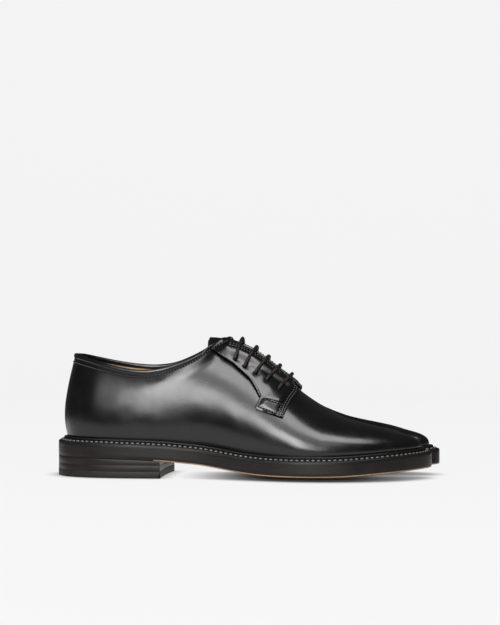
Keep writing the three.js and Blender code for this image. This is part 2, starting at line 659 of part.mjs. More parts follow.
// A cord along a path, its section a ring of six points.
const ROUND = 6;
function cordBody(path, radius) {
  const rows = path.map((p, i) => {
    const run = path[Math.min(i + 1, path.length - 1)].clone().sub(path[Math.max(i - 1, 0)]).normalize();
    const side = V(1, 0, 0).addScaledVector(run, -run.x).normalize();
    const other = run.clone().cross(side);
    return Array.from({ length: ROUND }, (_, k) => {
      const a = (k / ROUND) * 2 * Math.PI;
      const across = side.clone().multiplyScalar(radius * Math.cos(a));
      return p.clone().add(across).addScaledVector(other, radius * Math.sin(a));
    });
  });
  const faces = sheetFaces(rows, true);
  const last = (rows.length - 1) * ROUND;
  for (let k = 1; k < ROUND - 1; k++) faces.push([0, k + 1, k], [last, last + k, last + k + 1]);
  return bodyOf(rows.flat(), faces);
}
function laceBar(hole) {
  const mid = 3;
  const lie = (y, off) => {
    const side = y < mid ? "outer" : "inner";
    const on = laid(side, lerp(hole.over, hole.eye, ((y - mid) / (hole[side] - mid)) ** 2));
    return on.point(y === mid ? 1 : on.shareAt(y), FLAP.under + flapLift(y) + off);
  };
  const over = FLAP.thick + LACE / 2 + 0.55;
  const half = (side) => [
    lie(hole[side], 0.7),
    lie(hole[side], over - 1),
    lie(lerp(hole[side], FLAP[side], 0.12), over - 0.1),
    ...[0.4, 0.7, 1].map((q) => lie(lerp(hole[side], FLAP[side], q), over + 0.1)),
  ];
  const path = [...half("outer"), lie(-2, over), lie(mid, over), ...half("inner").reverse()];
  return cordBody(path, LACE / 2);
}

// Sole pieces: rings from an outline round the seam line in to the middle of the plan.
const SOLE_EDGE = ribs.map((r) => reachAt(r.s));
function plateOfSole(reach, levels, zAt) {
  const ring = (v) =>
    ribs.map((r, i) => {
      const rim = r.foot.clone().addScaledVector(r.out, reach(i, v));
      return v >= 1 ? rim : r.middle.clone().lerp(rim, v);
    });
  const rows = levels.map(({ v, face }) => ring(v).map((p) => p.setZ(zAt(face, p.x, v))));
  return bodyOf(rows.flat(), sheetFaces(rows, true));
}
// Bottom from the middle out, round the lower edge, up the side and back over the top.
const BOTTOM = [0, 0.35, 0.7, 0.999];
const outsoleBody = () => {
  const reach = (i, v) => SOLE_EDGE[i] - (v < 1 ? 0.9 : 0);
  const levels = [
    ...BOTTOM.map((v) => ({ v, face: "bottom" })),
    { v: 1, face: "side" },
    { v: 1, face: "top" },
    { v: 0.5, face: "top" },
    { v: 0, face: "top" },
  ];
  return plateOfSole(reach, levels, (face, x, v) => {
    if (face === "top") return soleTop(x);
    if (face === "side") return edgeZ(x) + 0.8;
    return lerp(middleZ(x), edgeZ(x), ease(v, 0.35, 1));
  });
};
const insoleBody = () =>
  plateOfSole(
    () => -WALL - 0.6,
    [
      { v: 0, face: "bottom" },
      { v: 0.5, face: "bottom" },
      { v: 1, face: "bottom" },
      { v: 1, face: "top" },
      { v: 0, face: "top" },
    ],
    (face, x) => soleTop(x) + GAP + (face === "top" ? INSOLE : 0),
  );
// Welt: lip out to the sole's edge, ridge against the upper. out: share of the reach; from: mm.
const WELT_SECTION = [
  { from: GAP, share: 0, up: 0 },
  { from: 0, share: 1, up: 0 },
  { from: 0, share: 1, up: WELT - 0.5 },
  { from: -0.5, share: 1, up: WELT },
  { from: 0.75, share: 0.42, up: WELT },
  { from: 0.4, share: 0.37, up: WELT + STORM - 0.4 },
  { from: 0.9, share: 0, up: WELT + STORM },
  { from: GAP, share: 0, up: WELT + STORM - 0.6 },
];
const weltBody = () =>
  ringBody(
    WELT_SECTION.map(({ from, share, up }) =>
      ribs.map((r, i) => {
        const reach = SOLE_EDGE[i] - 0.3;
        const out = Math.min(from + share * reach, reach);
        const p = r.foot.clone().addScaledVector(r.out, out);
        return p.setZ(soleTop(p.x) + GAP + up);
      }),
    ),
  );

// Heel: the back of the sole's outline, closed by a slightly hollow breast.
const BREAST = 1.5; // hollow of the breast
function heelBody(grow, bottom, top) {
  const breast = HEEL / 2;
  const outline = [];
  for (let s = footOf("inner", 0.36); s <= footOf("outer", 0.36); s += 5) {
    const p = onSeam(s).addScaledVector(outOfSeam(s), reachAt(s) + grow);
    if (p.x < breast - 1) outline.push(p);
  }
  const [first, last] = [outline[0].y, outline[outline.length - 1].y];
  for (let k = 0; k <= 8; k++) {
    const y = lerp(last, first, k / 8);
    const hollow = BREAST * (1 - ((2 * y - first - last) / (first - last)) ** 2);
    outline.push(V(breast + grow - hollow, y));
  }
  const shape = new THREE.Shape(outline.map((p) => new THREE.Vector2(p.x, p.y)));
  const g = new THREE.ExtrudeGeometry(shape, { depth: 1, bevelEnabled: false });
  const place = g.attributes.position;
  for (let i = 0; i < place.count; i++)
    place.setZ(i, place.getZ(i) < 0.5 ? bottom : top(place.getX(i)));
  return g;
}

// Collar binding: a soft roll along the edge of the collar.
const ROLL = [
  { out: 0.4, up: 0.4 },
  { out: 0.9, up: 1.5 },
  { out: 0.1, up: 2.9 },
  { out: -1.8, up: 2.9 },
  { out: -2.8, up: 1.5 },
  { out: -2.4, up: 0.4 },
];
function bindingBody() {
  const from = 0.205;
  const frames = [];
  const place = (side, w) => {
    const on = laid(side, w);
    const base = on.point(1, 0);
    return { base, out: on.point(1, 1).sub(base), up: on.rib.above.getTangent(1) };
  };
  for (let k = 0; k <= 20; k++) frames.push(place("outer", lerp(-from, -0.995, k / 20)));
  for (let k = 0; k <= 20; k++) frames.push(place("inner", lerp(-0.995, -from, k / 20)));
  const rows = frames.map(({ base, out, up }) =>
    ROLL.map((q) => base.clone().addScaledVector(out, q.out).addScaledVector(up, q.up)),
  );
  const faces = sheetFaces(rows, true);
  const [n, last] = [ROLL.length, (rows.length - 1) * ROLL.length];
  for (let k = 1; k < n - 1; k++) faces.push([0, k + 1, k], [last, last + k, last + k + 1]);
  return bodyOf(rows.flat(), faces);
}
// A body with its faces pointing out.
function facingOut(g) {
  if (solid(g).volume() > 0) return g;
  const index = [...g.index.array];
  for (let k = 0; k < index.length; k += 3) [index[k], index[k + 1]] = [index[k + 1], index[k]];
  g.setIndex(index);
  return g;
}

const COLOURS = { leather: 0x0b0b0c, edge: 0x26221f, tan: 0x8a6038, lace: 0x1a1310, rubber: 0x2e2a27 };
const shoe = new THREE.Group();
function add(name, geometry, color, roughness) {
  const material = new THREE.MeshStandardMaterial({ color, roughness, metalness: 0 });
  const mesh = new THREE.Mesh(geometry.index ? facingOut(geometry) : geometry, material);
  mesh.name = name;
  shoe.add(mesh);
}
add("outsole", outsoleBody(), COLOURS.edge, 0.55);
add("welt", weltBody(), COLOURS.edge, 0.5);
const lifts = [TOP_PIECE, TOP_PIECE + GAP + LIFT];
add("top_piece", heelBody(0.1, 0, () => lifts[0]), COLOURS.rubber, 0.7);
add("heel_lift", heelBody(-0.3, lifts[0] + GAP, () => lifts[1]), COLOURS.edge, 0.55);
add("heel_wedge", heelBody(-0.3, lifts[1] + GAP, (x) => edgeZ(x) - GAP), COLOURS.edge, 0.55);
add("insole", insoleBody(), COLOURS.tan, 0.7);
const shell = solid(facingOut(upperBody())).subtract(solid(facingOut(throatCutter())));
add("upper", geometryOf(shell), COLOURS.leather, 0.3);
add("collar_binding", bindingBody(), COLOURS.leather, 0.35);
add("tongue", tongueBody(), COLOURS.leather, 0.35);
add("facing_lateral", flapBody("outer"), COLOURS.leather, 0.3);
add("facing_medial", flapBody("inner"), COLOURS.leather, 0.3);
HOLES.forEach((hole, i) => add("lace_bar_" + (i + 1), laceBar(hole), COLOURS.lace, 0.6));

export default shoe;
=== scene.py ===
# %% [markdown]
# # A split-toe leather derby shoe
# This lesson dresses one right shoe. The imported model gives the frame: where the floor is, where the
# heel stands, and how large each piece is. The first cell opens it and keeps its box, so that the last
# cell can print it beside the finished shoe's box.

# %% Open the frame
import math

import bmesh
import bpy
import numpy as np
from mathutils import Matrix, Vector
from mathutils.bvhtree import BVHTree


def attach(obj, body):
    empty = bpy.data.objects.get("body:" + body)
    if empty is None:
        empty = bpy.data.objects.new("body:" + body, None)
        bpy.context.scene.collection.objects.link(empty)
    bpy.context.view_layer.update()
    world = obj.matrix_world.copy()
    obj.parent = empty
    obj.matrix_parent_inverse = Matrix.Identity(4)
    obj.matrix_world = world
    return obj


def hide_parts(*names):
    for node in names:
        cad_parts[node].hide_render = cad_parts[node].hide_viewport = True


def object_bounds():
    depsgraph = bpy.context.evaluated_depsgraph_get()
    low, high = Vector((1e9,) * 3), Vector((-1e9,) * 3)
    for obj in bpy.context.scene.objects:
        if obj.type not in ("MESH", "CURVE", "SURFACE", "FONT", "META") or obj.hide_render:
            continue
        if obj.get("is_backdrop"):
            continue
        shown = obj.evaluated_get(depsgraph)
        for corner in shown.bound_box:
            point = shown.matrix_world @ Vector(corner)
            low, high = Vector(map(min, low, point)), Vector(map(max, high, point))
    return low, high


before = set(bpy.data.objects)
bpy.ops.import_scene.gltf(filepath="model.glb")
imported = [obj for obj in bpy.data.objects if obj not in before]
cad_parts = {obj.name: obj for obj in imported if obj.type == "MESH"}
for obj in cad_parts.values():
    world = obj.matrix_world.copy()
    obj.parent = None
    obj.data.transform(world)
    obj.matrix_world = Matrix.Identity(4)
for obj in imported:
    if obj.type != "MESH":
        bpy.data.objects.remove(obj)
cad_box = [list(corner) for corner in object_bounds()]
print("frame nodes:", len(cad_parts))

# %% [markdown]
# ## The shoe's sizes
# A shoemaker starts from the last. Its named sizes are in millimetres: X runs to the toe, Y to the
# big-toe side and Z up, from the floor under the middle of the heel. Short tables hold the shape as
# shares of those sizes, a row for each section.

# %% Named sizes
LENGTH, HEEL, SEAM, BALL = 300.0, 87.0, 284.3, 92.0
BACK, RIDGE, WALL, GAP = 92.8, 105.4, 2.0, 0.3
SOLE, WELT, STORM, INSOLE = 9.2, 2.8, 3.0, 4.0
TOP_PIECE, LIFT = 5.0, 4.5
SPLIT_Y, SPLIT, ROOT = 11.0, 7.0, 178.0
LACE, EYELET = 2.5, 3.8
BACK_X = -HEEL / 2
SEAM_X = BACK_X + 7.1
TOE_X = SEAM_X + SEAM


def table(names, *rows):
    """Named columns from rows of numbers."""
    return dict(zip(names.split(), np.array(rows, float).T))


# Half widths of the line where the upper meets the welt, as shares of its length and of the ball.
PLAN = table(
    "along outer inner",
    (0.0, 0.0, 0.0), (0.03, 0.195, 0.195), (0.08, 0.275, 0.275), (0.15, 0.31, 0.306),
    (0.25, 0.31, 0.296), (0.35, 0.305, 0.262), (0.42, 0.326, 0.257), (0.5, 0.383, 0.3),
    (0.6, 0.465, 0.405), (0.66, 0.492, 0.455), (0.73, 0.486, 0.488), (0.8, 0.45, 0.494),
    (0.87, 0.372, 0.478),
)
SMALL_TOES = table(
    "along side", (0.92, -0.282), (0.956, -0.17), (0.977, -0.055), (0.979, 0.02), (0.966, 0.068)
)
BIG_TOE = table(
    "along side", (0.962, 0.168), (0.986, 0.203), (1.0, 0.278), (0.991, 0.345), (0.965, 0.405),
    (0.925, 0.452),
)
# Height of the sole's bottom: at its edge and in its middle.
GROUND = table(
    "along edge middle",
    (0.0, 15.4, 15.4), (0.145, 14.6, 14.6), (0.29, 13.2, 13.2), (0.342, 11.9, 11.6),
    (0.385, 10.8, 10.0), (0.427, 9.0, 7.6), (0.468, 7.0, 4.8), (0.512, 5.2, 2.0),
    (0.55, 4.2, 0.0), (0.6, 3.6, 0.0), (0.66, 3.4, 0.0), (0.72, 3.5, 0.0), (0.76, 3.9, 0.9),
    (0.8, 4.6, 2.2), (0.88, 6.4, 4.7), (0.96, 8.1, 7.1), (1.0, 8.8, 8.0),
)
# Ridge of the instep, then the crests of the two toe lobes.
SPINE = table(
    "along side up",
    (0.452, 2, 1.0), (0.478, 2, 0.968), (0.505, 2.2, 0.925), (0.537, 2.6, 0.853),
    (0.568, 3, 0.784), (0.6, 3.6, 0.717), (0.632, 4.8, 0.648), (0.652, 6, 0.604),
    (0.683, 8, 0.542), (0.7, 9, 0.514),
)
BIG_CREST = table(
    "along side up",
    (0.7, 9, 0.514), (0.731, 15.5, 0.473), (0.76, 20.5, 0.441), (0.795, 24.5, 0.415),
    (0.837, 27, 0.39), (0.878, 28, 0.364), (0.908, 27.5, 0.339),
)
SMALL_CREST = table(
    "along side up",
    (0.7, 9, 0.514), (0.731, 3, 0.47), (0.76, -1.5, 0.436), (0.795, -5, 0.408),
    (0.837, -7, 0.381), (0.87, -7.5, 0.357), (0.895, -7, 0.335),
)
BIG_MIDDLE = table(
    "along x side", (0, 0.688, 11), (0.125, 0.7117, 20), (0.25, 0.748, 26.5), (0.5, 0.822, 29.5),
    (1, 0.902, 28.5),
)
SMALL_MIDDLE = table(
    "along x side", (0, 0.688, 11), (0.125, 0.708, 1), (0.25, 0.745, -7), (0.5, 0.815, -13),
    (1, 0.892, -10),
)
# Edge of the collar from the ridge back to the heel, sides in mm, heights as shares of BACK.
COLLAR = table(
    "along outer outerUp inner innerUp",
    (0.437, 10.5, 1.118, 12.5, 1.14), (0.413, 19, 1.077, 19.5, 1.115),
    (0.385, 23.5, 1.01, 23.5, 1.055), (0.345, 27, 0.943, 26.5, 0.98),
    (0.295, 30, 0.888, 29, 0.914), (0.245, 31, 0.866, 30, 0.893), (0.195, 29.5, 0.88, 29, 0.902),
    (0.145, 26, 0.917, 26, 0.927), (0.1, 20.8, 0.956, 20.8, 0.959), (0.06, 13, 0.99, 13, 0.99),
    (0.0415, 0, 1.0, 0, 1.0),
)
CLIMB = table("along climb", (0, 0), (0.22, 62), (0.42, 78), (0.75, 76), (1, 70))
# Ribs of the upper: side, foot on the seam line, ribs to the next row, line that their top ends move
# along and from which share to which, lean at the foot, handle lengths below and above.
RIBS = (
    ("bigWall", 0, 2, "bigCrest", 0, 0, 4, 0.52, 0.24),
    ("bigWall", 0.77, 4, "bigCrest", 0, 0.5, 6, 0.52, 0.24),
    ("bigWall", 0.85, 4, "bigCrest", 0.5, 1, 10, 0.45, 0.3),
    ("bigWall", 0.935, 4, "bigCrest", 1, 1, 12, 0.4, 0.36),
    ("inner", 1, 4, "bigCrest", 1, 1, 12, 0.42, 0.4),
    ("inner", 0.925, 4, "bigCrest", 1, 0.5, 14, 0.4, 0.38),
    ("inner", 0.83, 4, "bigCrest", 0.5, 0, 16, 0.38, 0.36),
    ("inner", 0.715, 3, "spine", 1, 0.7, 16, 0.38, 0.34),
    ("inner", 0.64, 3, "spine", 0.7, 0.3, 18, 0.38, 0.32),
    ("inner", 0.55, 3, "spine", 0.3, 0, 24, 0.42, 0.28),
    ("inner", 0.465, 4, "innerCollar", 0, 0.22, 27, 0.44, 0.25),
    ("inner", 0.37, 3, "innerCollar", 0.22, 0.42, 26, 0.4, 0.26),
    ("inner", 0.28, 4, "innerCollar", 0.42, 0.75, 20, 0.38, 0.3),
    ("inner", 0.12, 4, "innerCollar", 0.75, 1, 18, 0.37, 0.36),
    ("outer", 0, 4, "outerCollar", 1, 0.75, 21, 0.37, 0.37),
    ("outer", 0.12, 4, "outerCollar", 0.75, 0.42, 18, 0.37, 0.36),
    ("outer", 0.28, 3, "outerCollar", 0.42, 0.22, 19, 0.38, 0.3),
    ("outer", 0.37, 4, "outerCollar", 0.22, 0, 22, 0.4, 0.26),
    ("outer", 0.465, 3, "spine", 0, 0.3, 24, 0.44, 0.27),
    ("outer", 0.55, 3, "spine", 0.3, 0.7, 20, 0.42, 0.3),
    ("outer", 0.64, 3, "spine", 0.7, 1, 16, 0.38, 0.34),
    ("outer", 0.715, 4, "smallCrest", 0, 0.5, 15, 0.36, 0.36),
    ("outer", 0.825, 4, "smallCrest", 0.5, 1, 15, 0.34, 0.42),
    ("outer", 0.905, 5, "smallCrest", 1, 1, 14, 0.36, 0.42),
    ("smallWall", 0.979, 4, "smallCrest", 1, 1, 13, 0.4, 0.4),
    ("smallWall", 0.935, 4, "smallCrest", 1, 0.5, 12, 0.4, 0.36),
    ("smallWall", 0.85, 4, "smallCrest", 0.5, 0, 10, 0.45, 0.3),
    ("smallWall", 0.77, 2, "smallCrest", 0, 0, 6, 0.52, 0.24),
    ("smallWall", 0, 0, "smallCrest", 0, 0, 4, 0.52, 0.24),
)
FLAP = {"outer": -6.0, "inner": 7.0, "thick": 2.1, "under": 0.8}
TONGUE = {"outer": -11.0, "inner": 11.5, "thick": 2.0, "front": 0.735}
# Eyelets: place down the lacing of the hole and of its bar on the ridge, sides in mm.
HOLES = (
    (0.067, 0.095, -17.5, 18.0), (0.165, 0.223, -20.0, 20.0), (0.272, 0.351, -21.5, 21.5),
    (0.392, 0.478, -22.5, 22.5), (0.53, 0.606, -23.0, 23.0),
)
FLAP_SHAPE = np.array([
    (0.65, 1.2), (0.65, 0.72), (0.643, 0.685), (0.6395, 0.64), (0.628, 0.588), (0.6145, 0.5),
    (0.609, 0.456), (0.5345, 0.518), (0.5475, 0.6), (0.5439, 0.62), (0.5354, 0.664),
    (0.5197, 0.729), (0.4983, 0.781), (0.4725, 0.842), (0.4435, 0.891), (0.417, 0.945),
    (0.395, 1.01), (0.395, 1.2),
]) * (LENGTH, RIDGE) + (BACK_X, 0)
REAR = FLAP_SHAPE[8:17]  # rear edge of a facing, from the tab up
FINE = 4  # fine ribs for each rib of the tables
print("rib rows:", len(RIBS))

# %% [markdown]
# ## Camera, light and floor
# The photograph is a level side view from about a metre and a half, with the camera a little ahead of
# the heel. The camera is fixed first, so that every later piece is judged through the same lens. Black
# polished leather shows little colour of its own: what the eye reads is the soft boxes mirrored in it,
# so the lights are large, white and placed where the photograph's soft highlights are. The floor is a
# sheet of pale paper with an even glow of its own; close to the sole an ambient-occlusion node darkens
# that glow, a painted contact shadow. Only a small table under the shoe is mirrored in the leather: the
# rest of the floor is hidden from reflections, and the rest of the studio is dark.

# %% Camera
scene = bpy.context.scene
lens = bpy.data.cameras.new("photo_camera")
lens.sensor_fit, lens.sensor_width = "HORIZONTAL", 36.0
lens.lens = 36.0 * 1800 / 500
camera = bpy.data.objects.new("photo_camera", lens)
camera.location = (0.27909, -1.40036, 0.12778)
camera.rotation_euler = (math.radians(90), 0, math.radians(6.93))
scene.collection.objects.link(camera)
scene.camera = camera
scene.view_settings.view_transform = "Standard"
print("camera lens:", round(lens.lens, 1))


# %% Lights and floor
def softbox(name, place, aim, wide, high, watts):
    data = bpy.data.lights.new(name, "AREA")
    data.shape, data.size, data.size_y, data.energy = "RECTANGLE", wide, high, watts
    lamp = bpy.data.objects.new(name, data)
    lamp.location = place
    lamp.rotation_euler = (Vector(aim) - Vector(place)).to_track_quat("-Z", "Y").to_euler()
    scene.collection.objects.link(lamp)
    return lamp


softbox("box_front", (0.0, -1.94, 0.5), (0.1, 0, 0.05), 0.44, 1.05, 20)
softbox("box_middle", (-0.42, -1.87, 0.7), (0.1, 0, 0.05), 0.46, 0.76, 13)
softbox("box_left", (-0.9, -1.66, 0.78), (0.1, 0, 0.05), 0.62, 0.6, 3.5)
softbox("box_upper", (-0.03, -1.46, 1.41), (0.1, 0, 0.05), 1.6, 0.95, 11)
softbox("box_above", (0.35, -0.75, 1.75), (0.1, 0, 0.05), 1.5, 0.85, 29)
world = bpy.data.worlds.new("studio")
scene.world = world
world.use_nodes = True
world.node_tree.nodes["Background"].inputs["Color"].default_value = (1, 1, 1, 1)
world.node_tree.nodes["Background"].inputs["Strength"].default_value = 0.06


def grid_faces(n, m, round_rows=False, round_columns=False):
    """Quads between n rows of m points, closed on themselves where asked."""
    i, j = np.meshgrid(
        np.arange(n if round_rows else n - 1), np.arange(m if round_columns else m - 1), indexing="ij"
    )
    k, after = (i + 1) % n, (j + 1) % m
    return np.stack([i * m + j, i * m + after, k * m + after, k * m + j], -1).reshape(-1, 4)


def new_object(name, verts, faces, smooth=True):
    """A mesh object at the origin, its points given in millimetres."""
    mesh = bpy.data.meshes.new(name)
    metres = np.asarray(verts, float) * 0.001
    mesh.from_pydata(metres.tolist(), [], [list(map(int, f)) for f in faces])
    mesh.validate()
    piece = bpy.data.objects.new(name, mesh)
    scene.collection.objects.link(piece)
    mesh.polygons.foreach_set("use_smooth", [smooth] * len(mesh.polygons))
    return piece


BEND = 500  # radius of the paper's rise behind the shoe
bend = [(1300 + BEND * math.sin(a), BEND - BEND * math.cos(a)) for a in np.linspace(0.1, math.pi / 2, 14)]
sweep = [(-3000, 0), (-170, 0), (300, 0), (1300, 0)] + bend + [(1300 + BEND, 3000)]
columns = (-3500, -350, 550, 3500)
floor_points = [(x, y, z) for y, z in sweep for x in columns]
floor_faces = grid_faces(len(sweep), len(columns))
UNDER_SHOE = 4  # the square that the shoe stands on
table_top = new_object("floor_table", floor_points, floor_faces[[UNDER_SHOE]])
floor = new_object("floor", floor_points, np.delete(floor_faces, UNDER_SHOE, axis=0))
floor.visible_glossy = False
paper = bpy.data.materials.new("glow_paper_painted_shadow")
paper.use_nodes = True
sheet = paper.node_tree.nodes["Principled BSDF"]
sheet.inputs["Base Color"].default_value = (0.04, 0.04, 0.04, 1)
sheet.inputs["Specular IOR Level"].default_value = 0
sheet.inputs["Emission Color"].default_value = (1, 1, 1, 1)
# Ambient occlusion darkens the floor's glow close to the shoe: this is a painted contact shadow.
shade = paper.node_tree.nodes.new("ShaderNodeAmbientOcclusion")
shade.inputs["Distance"].default_value = 0.012
shade.inputs["Color"].default_value = (0.86, 0.86, 0.86, 1)
paper.node_tree.links.new(shade.outputs["Color"], sheet.inputs["Emission Color"])
sheet.inputs["Emission Strength"].default_value = 1.0
for ground in (floor, table_top):
    ground.data.materials.append(paper)
    ground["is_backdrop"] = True
print("lights and floor made")

# %% [markdown]
# ## The shape of the last
# The upper is one skin stretched over a last. It is drawn here as ribs: each one stands on the seam
# line round the sole and climbs a soft curve to the collar, to the ridge of the instep, or to the crest
# of a toe lobe. Fine ribs are placed between the tables' rows, and the handles of their curves are
# smoothed along the shoe, because polished leather shows every kink.


# %% Curves and columns
def ease(x, low, high):
    t = np.clip((np.asarray(x, float) - low) / (high - low), 0, 1)
    return t * t * (3 - 2 * t)


def unit(v):
    return v / np.maximum(np.linalg.norm(v, axis=-1, keepdims=True), 1e-12)


def column(rows, name, along, key="along"):
    """A table's column at any share, by cubic pieces that never overshoot."""
    x, y = rows[key], rows[name]
    along = np.clip(along, x[0], x[-1])
    grade = np.diff(y) / np.diff(x)
    slope = np.concatenate([grade[:1], grade[:-1] * 0, grade[-1:]])
    a, b = grade[:-1], grade[1:]
    rising = a * b > 0
    slope[1:-1][rising] = 2 * a[rising] * b[rising] / (a[rising] + b[rising])
    i = np.clip(np.searchsorted(x, along, side="right") - 1, 0, len(x) - 2)
    h = x[i + 1] - x[i]
    t = (along - x[i]) / h
    return (
        y[i] * (1 + 2 * t) * (1 - t) ** 2 + y[i + 1] * t * t * (3 - 2 * t)
        + h * slope[i] * t * (1 - t) ** 2 + h * slope[i + 1] * t * t * (t - 1)
    )


def arc_of(points):
    """Distance along a line at each of its points."""
    return np.concatenate([[0], np.cumsum(np.linalg.norm(np.diff(points, axis=0), axis=1))])


def curve_through(points, steps=40):
    """A smooth open curve through points, and the distance along it."""
    p = np.asarray(points, float)
    p = np.vstack([2 * p[0] - p[1], p, 2 * p[-1] - p[-2]])
    out = []
    for p0, p1, p2, p3 in zip(p[:-3], p[1:-2], p[2:-1], p[3:]):
        steps_here = ((p0, p1), (p1, p2), (p2, p3))
        d0, d1, d2 = (max(np.linalg.norm(b - a), 1e-6) ** 0.5 for a, b in steps_here)
        m1 = ((p1 - p0) / d0 - (p2 - p0) / (d0 + d1) + (p2 - p1) / d1) * d1
        m2 = ((p2 - p1) / d1 - (p3 - p1) / (d1 + d2) + (p3 - p2) / d2) * d1
        t = np.linspace(0, 1, steps, endpoint=False)[:, None]
        out.append(
            p1 * (1 + 2 * t) * (1 - t) ** 2 + p2 * t * t * (3 - 2 * t)
            + m1 * t * (1 - t) ** 2 + m2 * t * t * (t - 1)
        )
    line = np.vstack(out + [p[-2:-1]])
    return line, arc_of(line)


def line_distance(points, line):
    """Distance of side-view points from an open line."""
    best = np.full(points.shape[:-1], 1e9)
    for p, q in zip(line[:-1], line[1:]):
        d = q - p
        t = np.clip(((points - p) @ d) / (d @ d), 0, 1)
        best = np.minimum(best, np.linalg.norm(points - p - t[..., None] * d, axis=-1))
    return best


def along_curve(curve, distance):
    line, arc = curve
    return np.stack([np.interp(distance, arc, line[:, k]) for k in range(line.shape[1])], -1)


def share_of(x):
    return (x - BACK_X) / LENGTH


def edge_z(x):
    return column(GROUND, "edge", share_of(x))


def middle_z(x):
    return column(GROUND, "middle", share_of(x))


def sole_top(x):
    return edge_z(x) + SOLE


def storm_top(x):
    return sole_top(x) + GAP + WELT + STORM


# %% Seam line
def seam_line():
    half = SPLIT / 2
    at = lambda rows, name, sign=1: [
        (SEAM_X + a * SEAM, sign * s * BALL) for a, s in zip(rows["along"], rows[name])
    ]
    wall = lambda x, sign: (x, SPLIT_Y + sign * half)
    front = TOE_X - 18
    body = (
        at(BIG_TOE, "side") + at(PLAN, "inner")[:0:-1] + [(SEAM_X, 0)] + at(PLAN, "outer", -1)[1:]
        + at(SMALL_TOES, "side")
    )
    ends = [wall(front - 6, 1), wall(front, 1)] + body + [wall(front - 3, -1), wall(front - 9, -1)]
    line, _ = curve_through(ends)
    turn = np.linspace(0, math.pi / 2, 12)
    root = np.stack([ROOT + half - half * np.cos(turn), half * np.sin(turn)], -1)
    big = root + (0, SPLIT_Y)
    small = root[::-1] * (1, -1) + (0, SPLIT_Y)
    loop = np.vstack([big, line, small])
    return loop, arc_of(loop)


seam = seam_line()
TOTAL = seam[1][-1]
on_seam = lambda s: along_curve(seam, np.mod(s, TOTAL))


def out_of_seam(s):
    d = unit(on_seam(np.asarray(s) + 0.8) - on_seam(np.asarray(s) - 0.8))
    return np.stack([d[..., 1], -d[..., 0]], -1)


fine_s = np.linspace(0, TOTAL, 4001)
fine_p = on_seam(fine_s[:-1])
heel_s = fine_s[np.argmin(fine_p[:, 0])]
tip_s = fine_s[np.argmax(np.where(fine_p[:, 1] > SPLIT_Y, fine_p[:, 0], -1e9))]
small_s = fine_s[np.argmax(np.where(fine_s[:-1] > heel_s, fine_p[:, 0], -1e9))]
STRETCH = {
    "bigWall": (0, tip_s), "inner": (tip_s, heel_s), "outer": (heel_s, small_s),
    "smallWall": (small_s, TOTAL),
}


def foot_of(side, share):
    low, high = STRETCH[side]
    if share == 0:
        return high if side == "smallWall" else low
    if share == 1:
        return low
    s = np.linspace(low, high, 3000)
    x = along_curve(seam, np.clip(s, 0, TOTAL))[:, 0]
    goal = SEAM_X + share * SEAM
    return float(np.interp(goal, x, s) if x[-1] > x[0] else np.interp(goal, x[::-1], s[::-1]))


def reach_at(s):
    """How far the sole stands out of the seam line: least in the split, most at the toes."""
    p, out = on_seam(s), out_of_seam(s)
    full = 7.1 + 1.5 * ease(p[..., 0], 60, 220)
    split = (p[..., 0] > ROOT - 1) & ((s < tip_s) | (s > small_s))
    near = np.where(p[..., 0] < ROOT + 12, 0, ease(out[..., 0], 0.45, 1))
    return np.where(split, 2.2 + (full - 2.2) * near, full)


print("seam line:", round(TOTAL, 1), "mm")

# %% Lines at the ribs' top ends
peak = (BACK_X + SPINE["along"][0] * LENGTH, SPINE["side"][0], RIDGE)


def plain_line(rows):
    points = [BACK_X + rows["along"] * LENGTH, rows["side"], rows["up"] * RIDGE]
    return curve_through(np.stack(points, -1))


def collar_line(side, sign):
    rows = [BACK_X + COLLAR["along"] * LENGTH, sign * COLLAR[side], COLLAR[side + "Up"] * BACK]
    return curve_through(np.vstack([peak, np.stack(rows, -1)]))


LINES = {
    "spine": plain_line(SPINE), "bigCrest": plain_line(BIG_CREST), "smallCrest": plain_line(SMALL_CREST),
    "innerCollar": collar_line("inner", 1), "outerCollar": collar_line("outer", -1),
}


def top_at(name, at):
    """Top ends at shares of a line, and how steeply the line falls there."""
    line = LINES[name]
    whole = line[1][-1]
    p = along_curve(line, at * whole)
    if name.endswith("Collar"):
        return p, -0.6 * (1 - ease(at, 0, 0.2))
    mid = np.clip(at, 0.03, 0.97) * whole
    d = along_curve(line, mid + 1.5) - along_curve(line, mid - 1.5)
    fall = d[:, 2] / d[:, 0]
    if name.endswith("Crest"):
        fall = fall + (-0.53 - fall) * (1 - ease(at, 0, 0.3))
    if name == "spine":
        fall = fall + (-0.53 - fall) * ease(at, 0.85, 1)
    return p, fall


def middle_at(name, at, top):
    """The middle of the shoe's plan that a rib looks at."""
    if name.endswith("Collar"):
        return np.stack([peak[0] + (SEAM_X + 22 - peak[0]) * at, peak[1] * (1 - at)], -1)
    if name == "spine":
        end = np.array([BACK_X + BIG_MIDDLE["x"][0] * LENGTH, BIG_MIDDLE["side"][0]])
        return top[:, :2] + (end - top[:, :2]) * (at ** 4)[:, None]
    rows = BIG_MIDDLE if name == "bigCrest" else SMALL_MIDDLE
    return np.stack([BACK_X + column(rows, "x", at) * LENGTH, column(rows, "side", at)], -1)


# %% Ribs
starts = np.concatenate([[0], np.cumsum([row[2] for row in RIBS[:-1]])])
RING = int(starts[-1])
knots = {"u": starts.astype(float), "s": np.array([foot_of(row[0], row[1]) for row in RIBS])}
for k, name in enumerate(("lean", "rise", "crown")):
    knots[name] = np.array([row[6 + k] for row in RIBS], float)
u = np.arange(RING * FINE) / FINE
N = len(u)
rib_s = column(knots, "s", u, "u")
row_of = np.clip(np.searchsorted(starts, u, side="right") - 1, 0, len(RIBS) - 2)
rib_line = np.array([RIBS[k][3] for k in row_of])

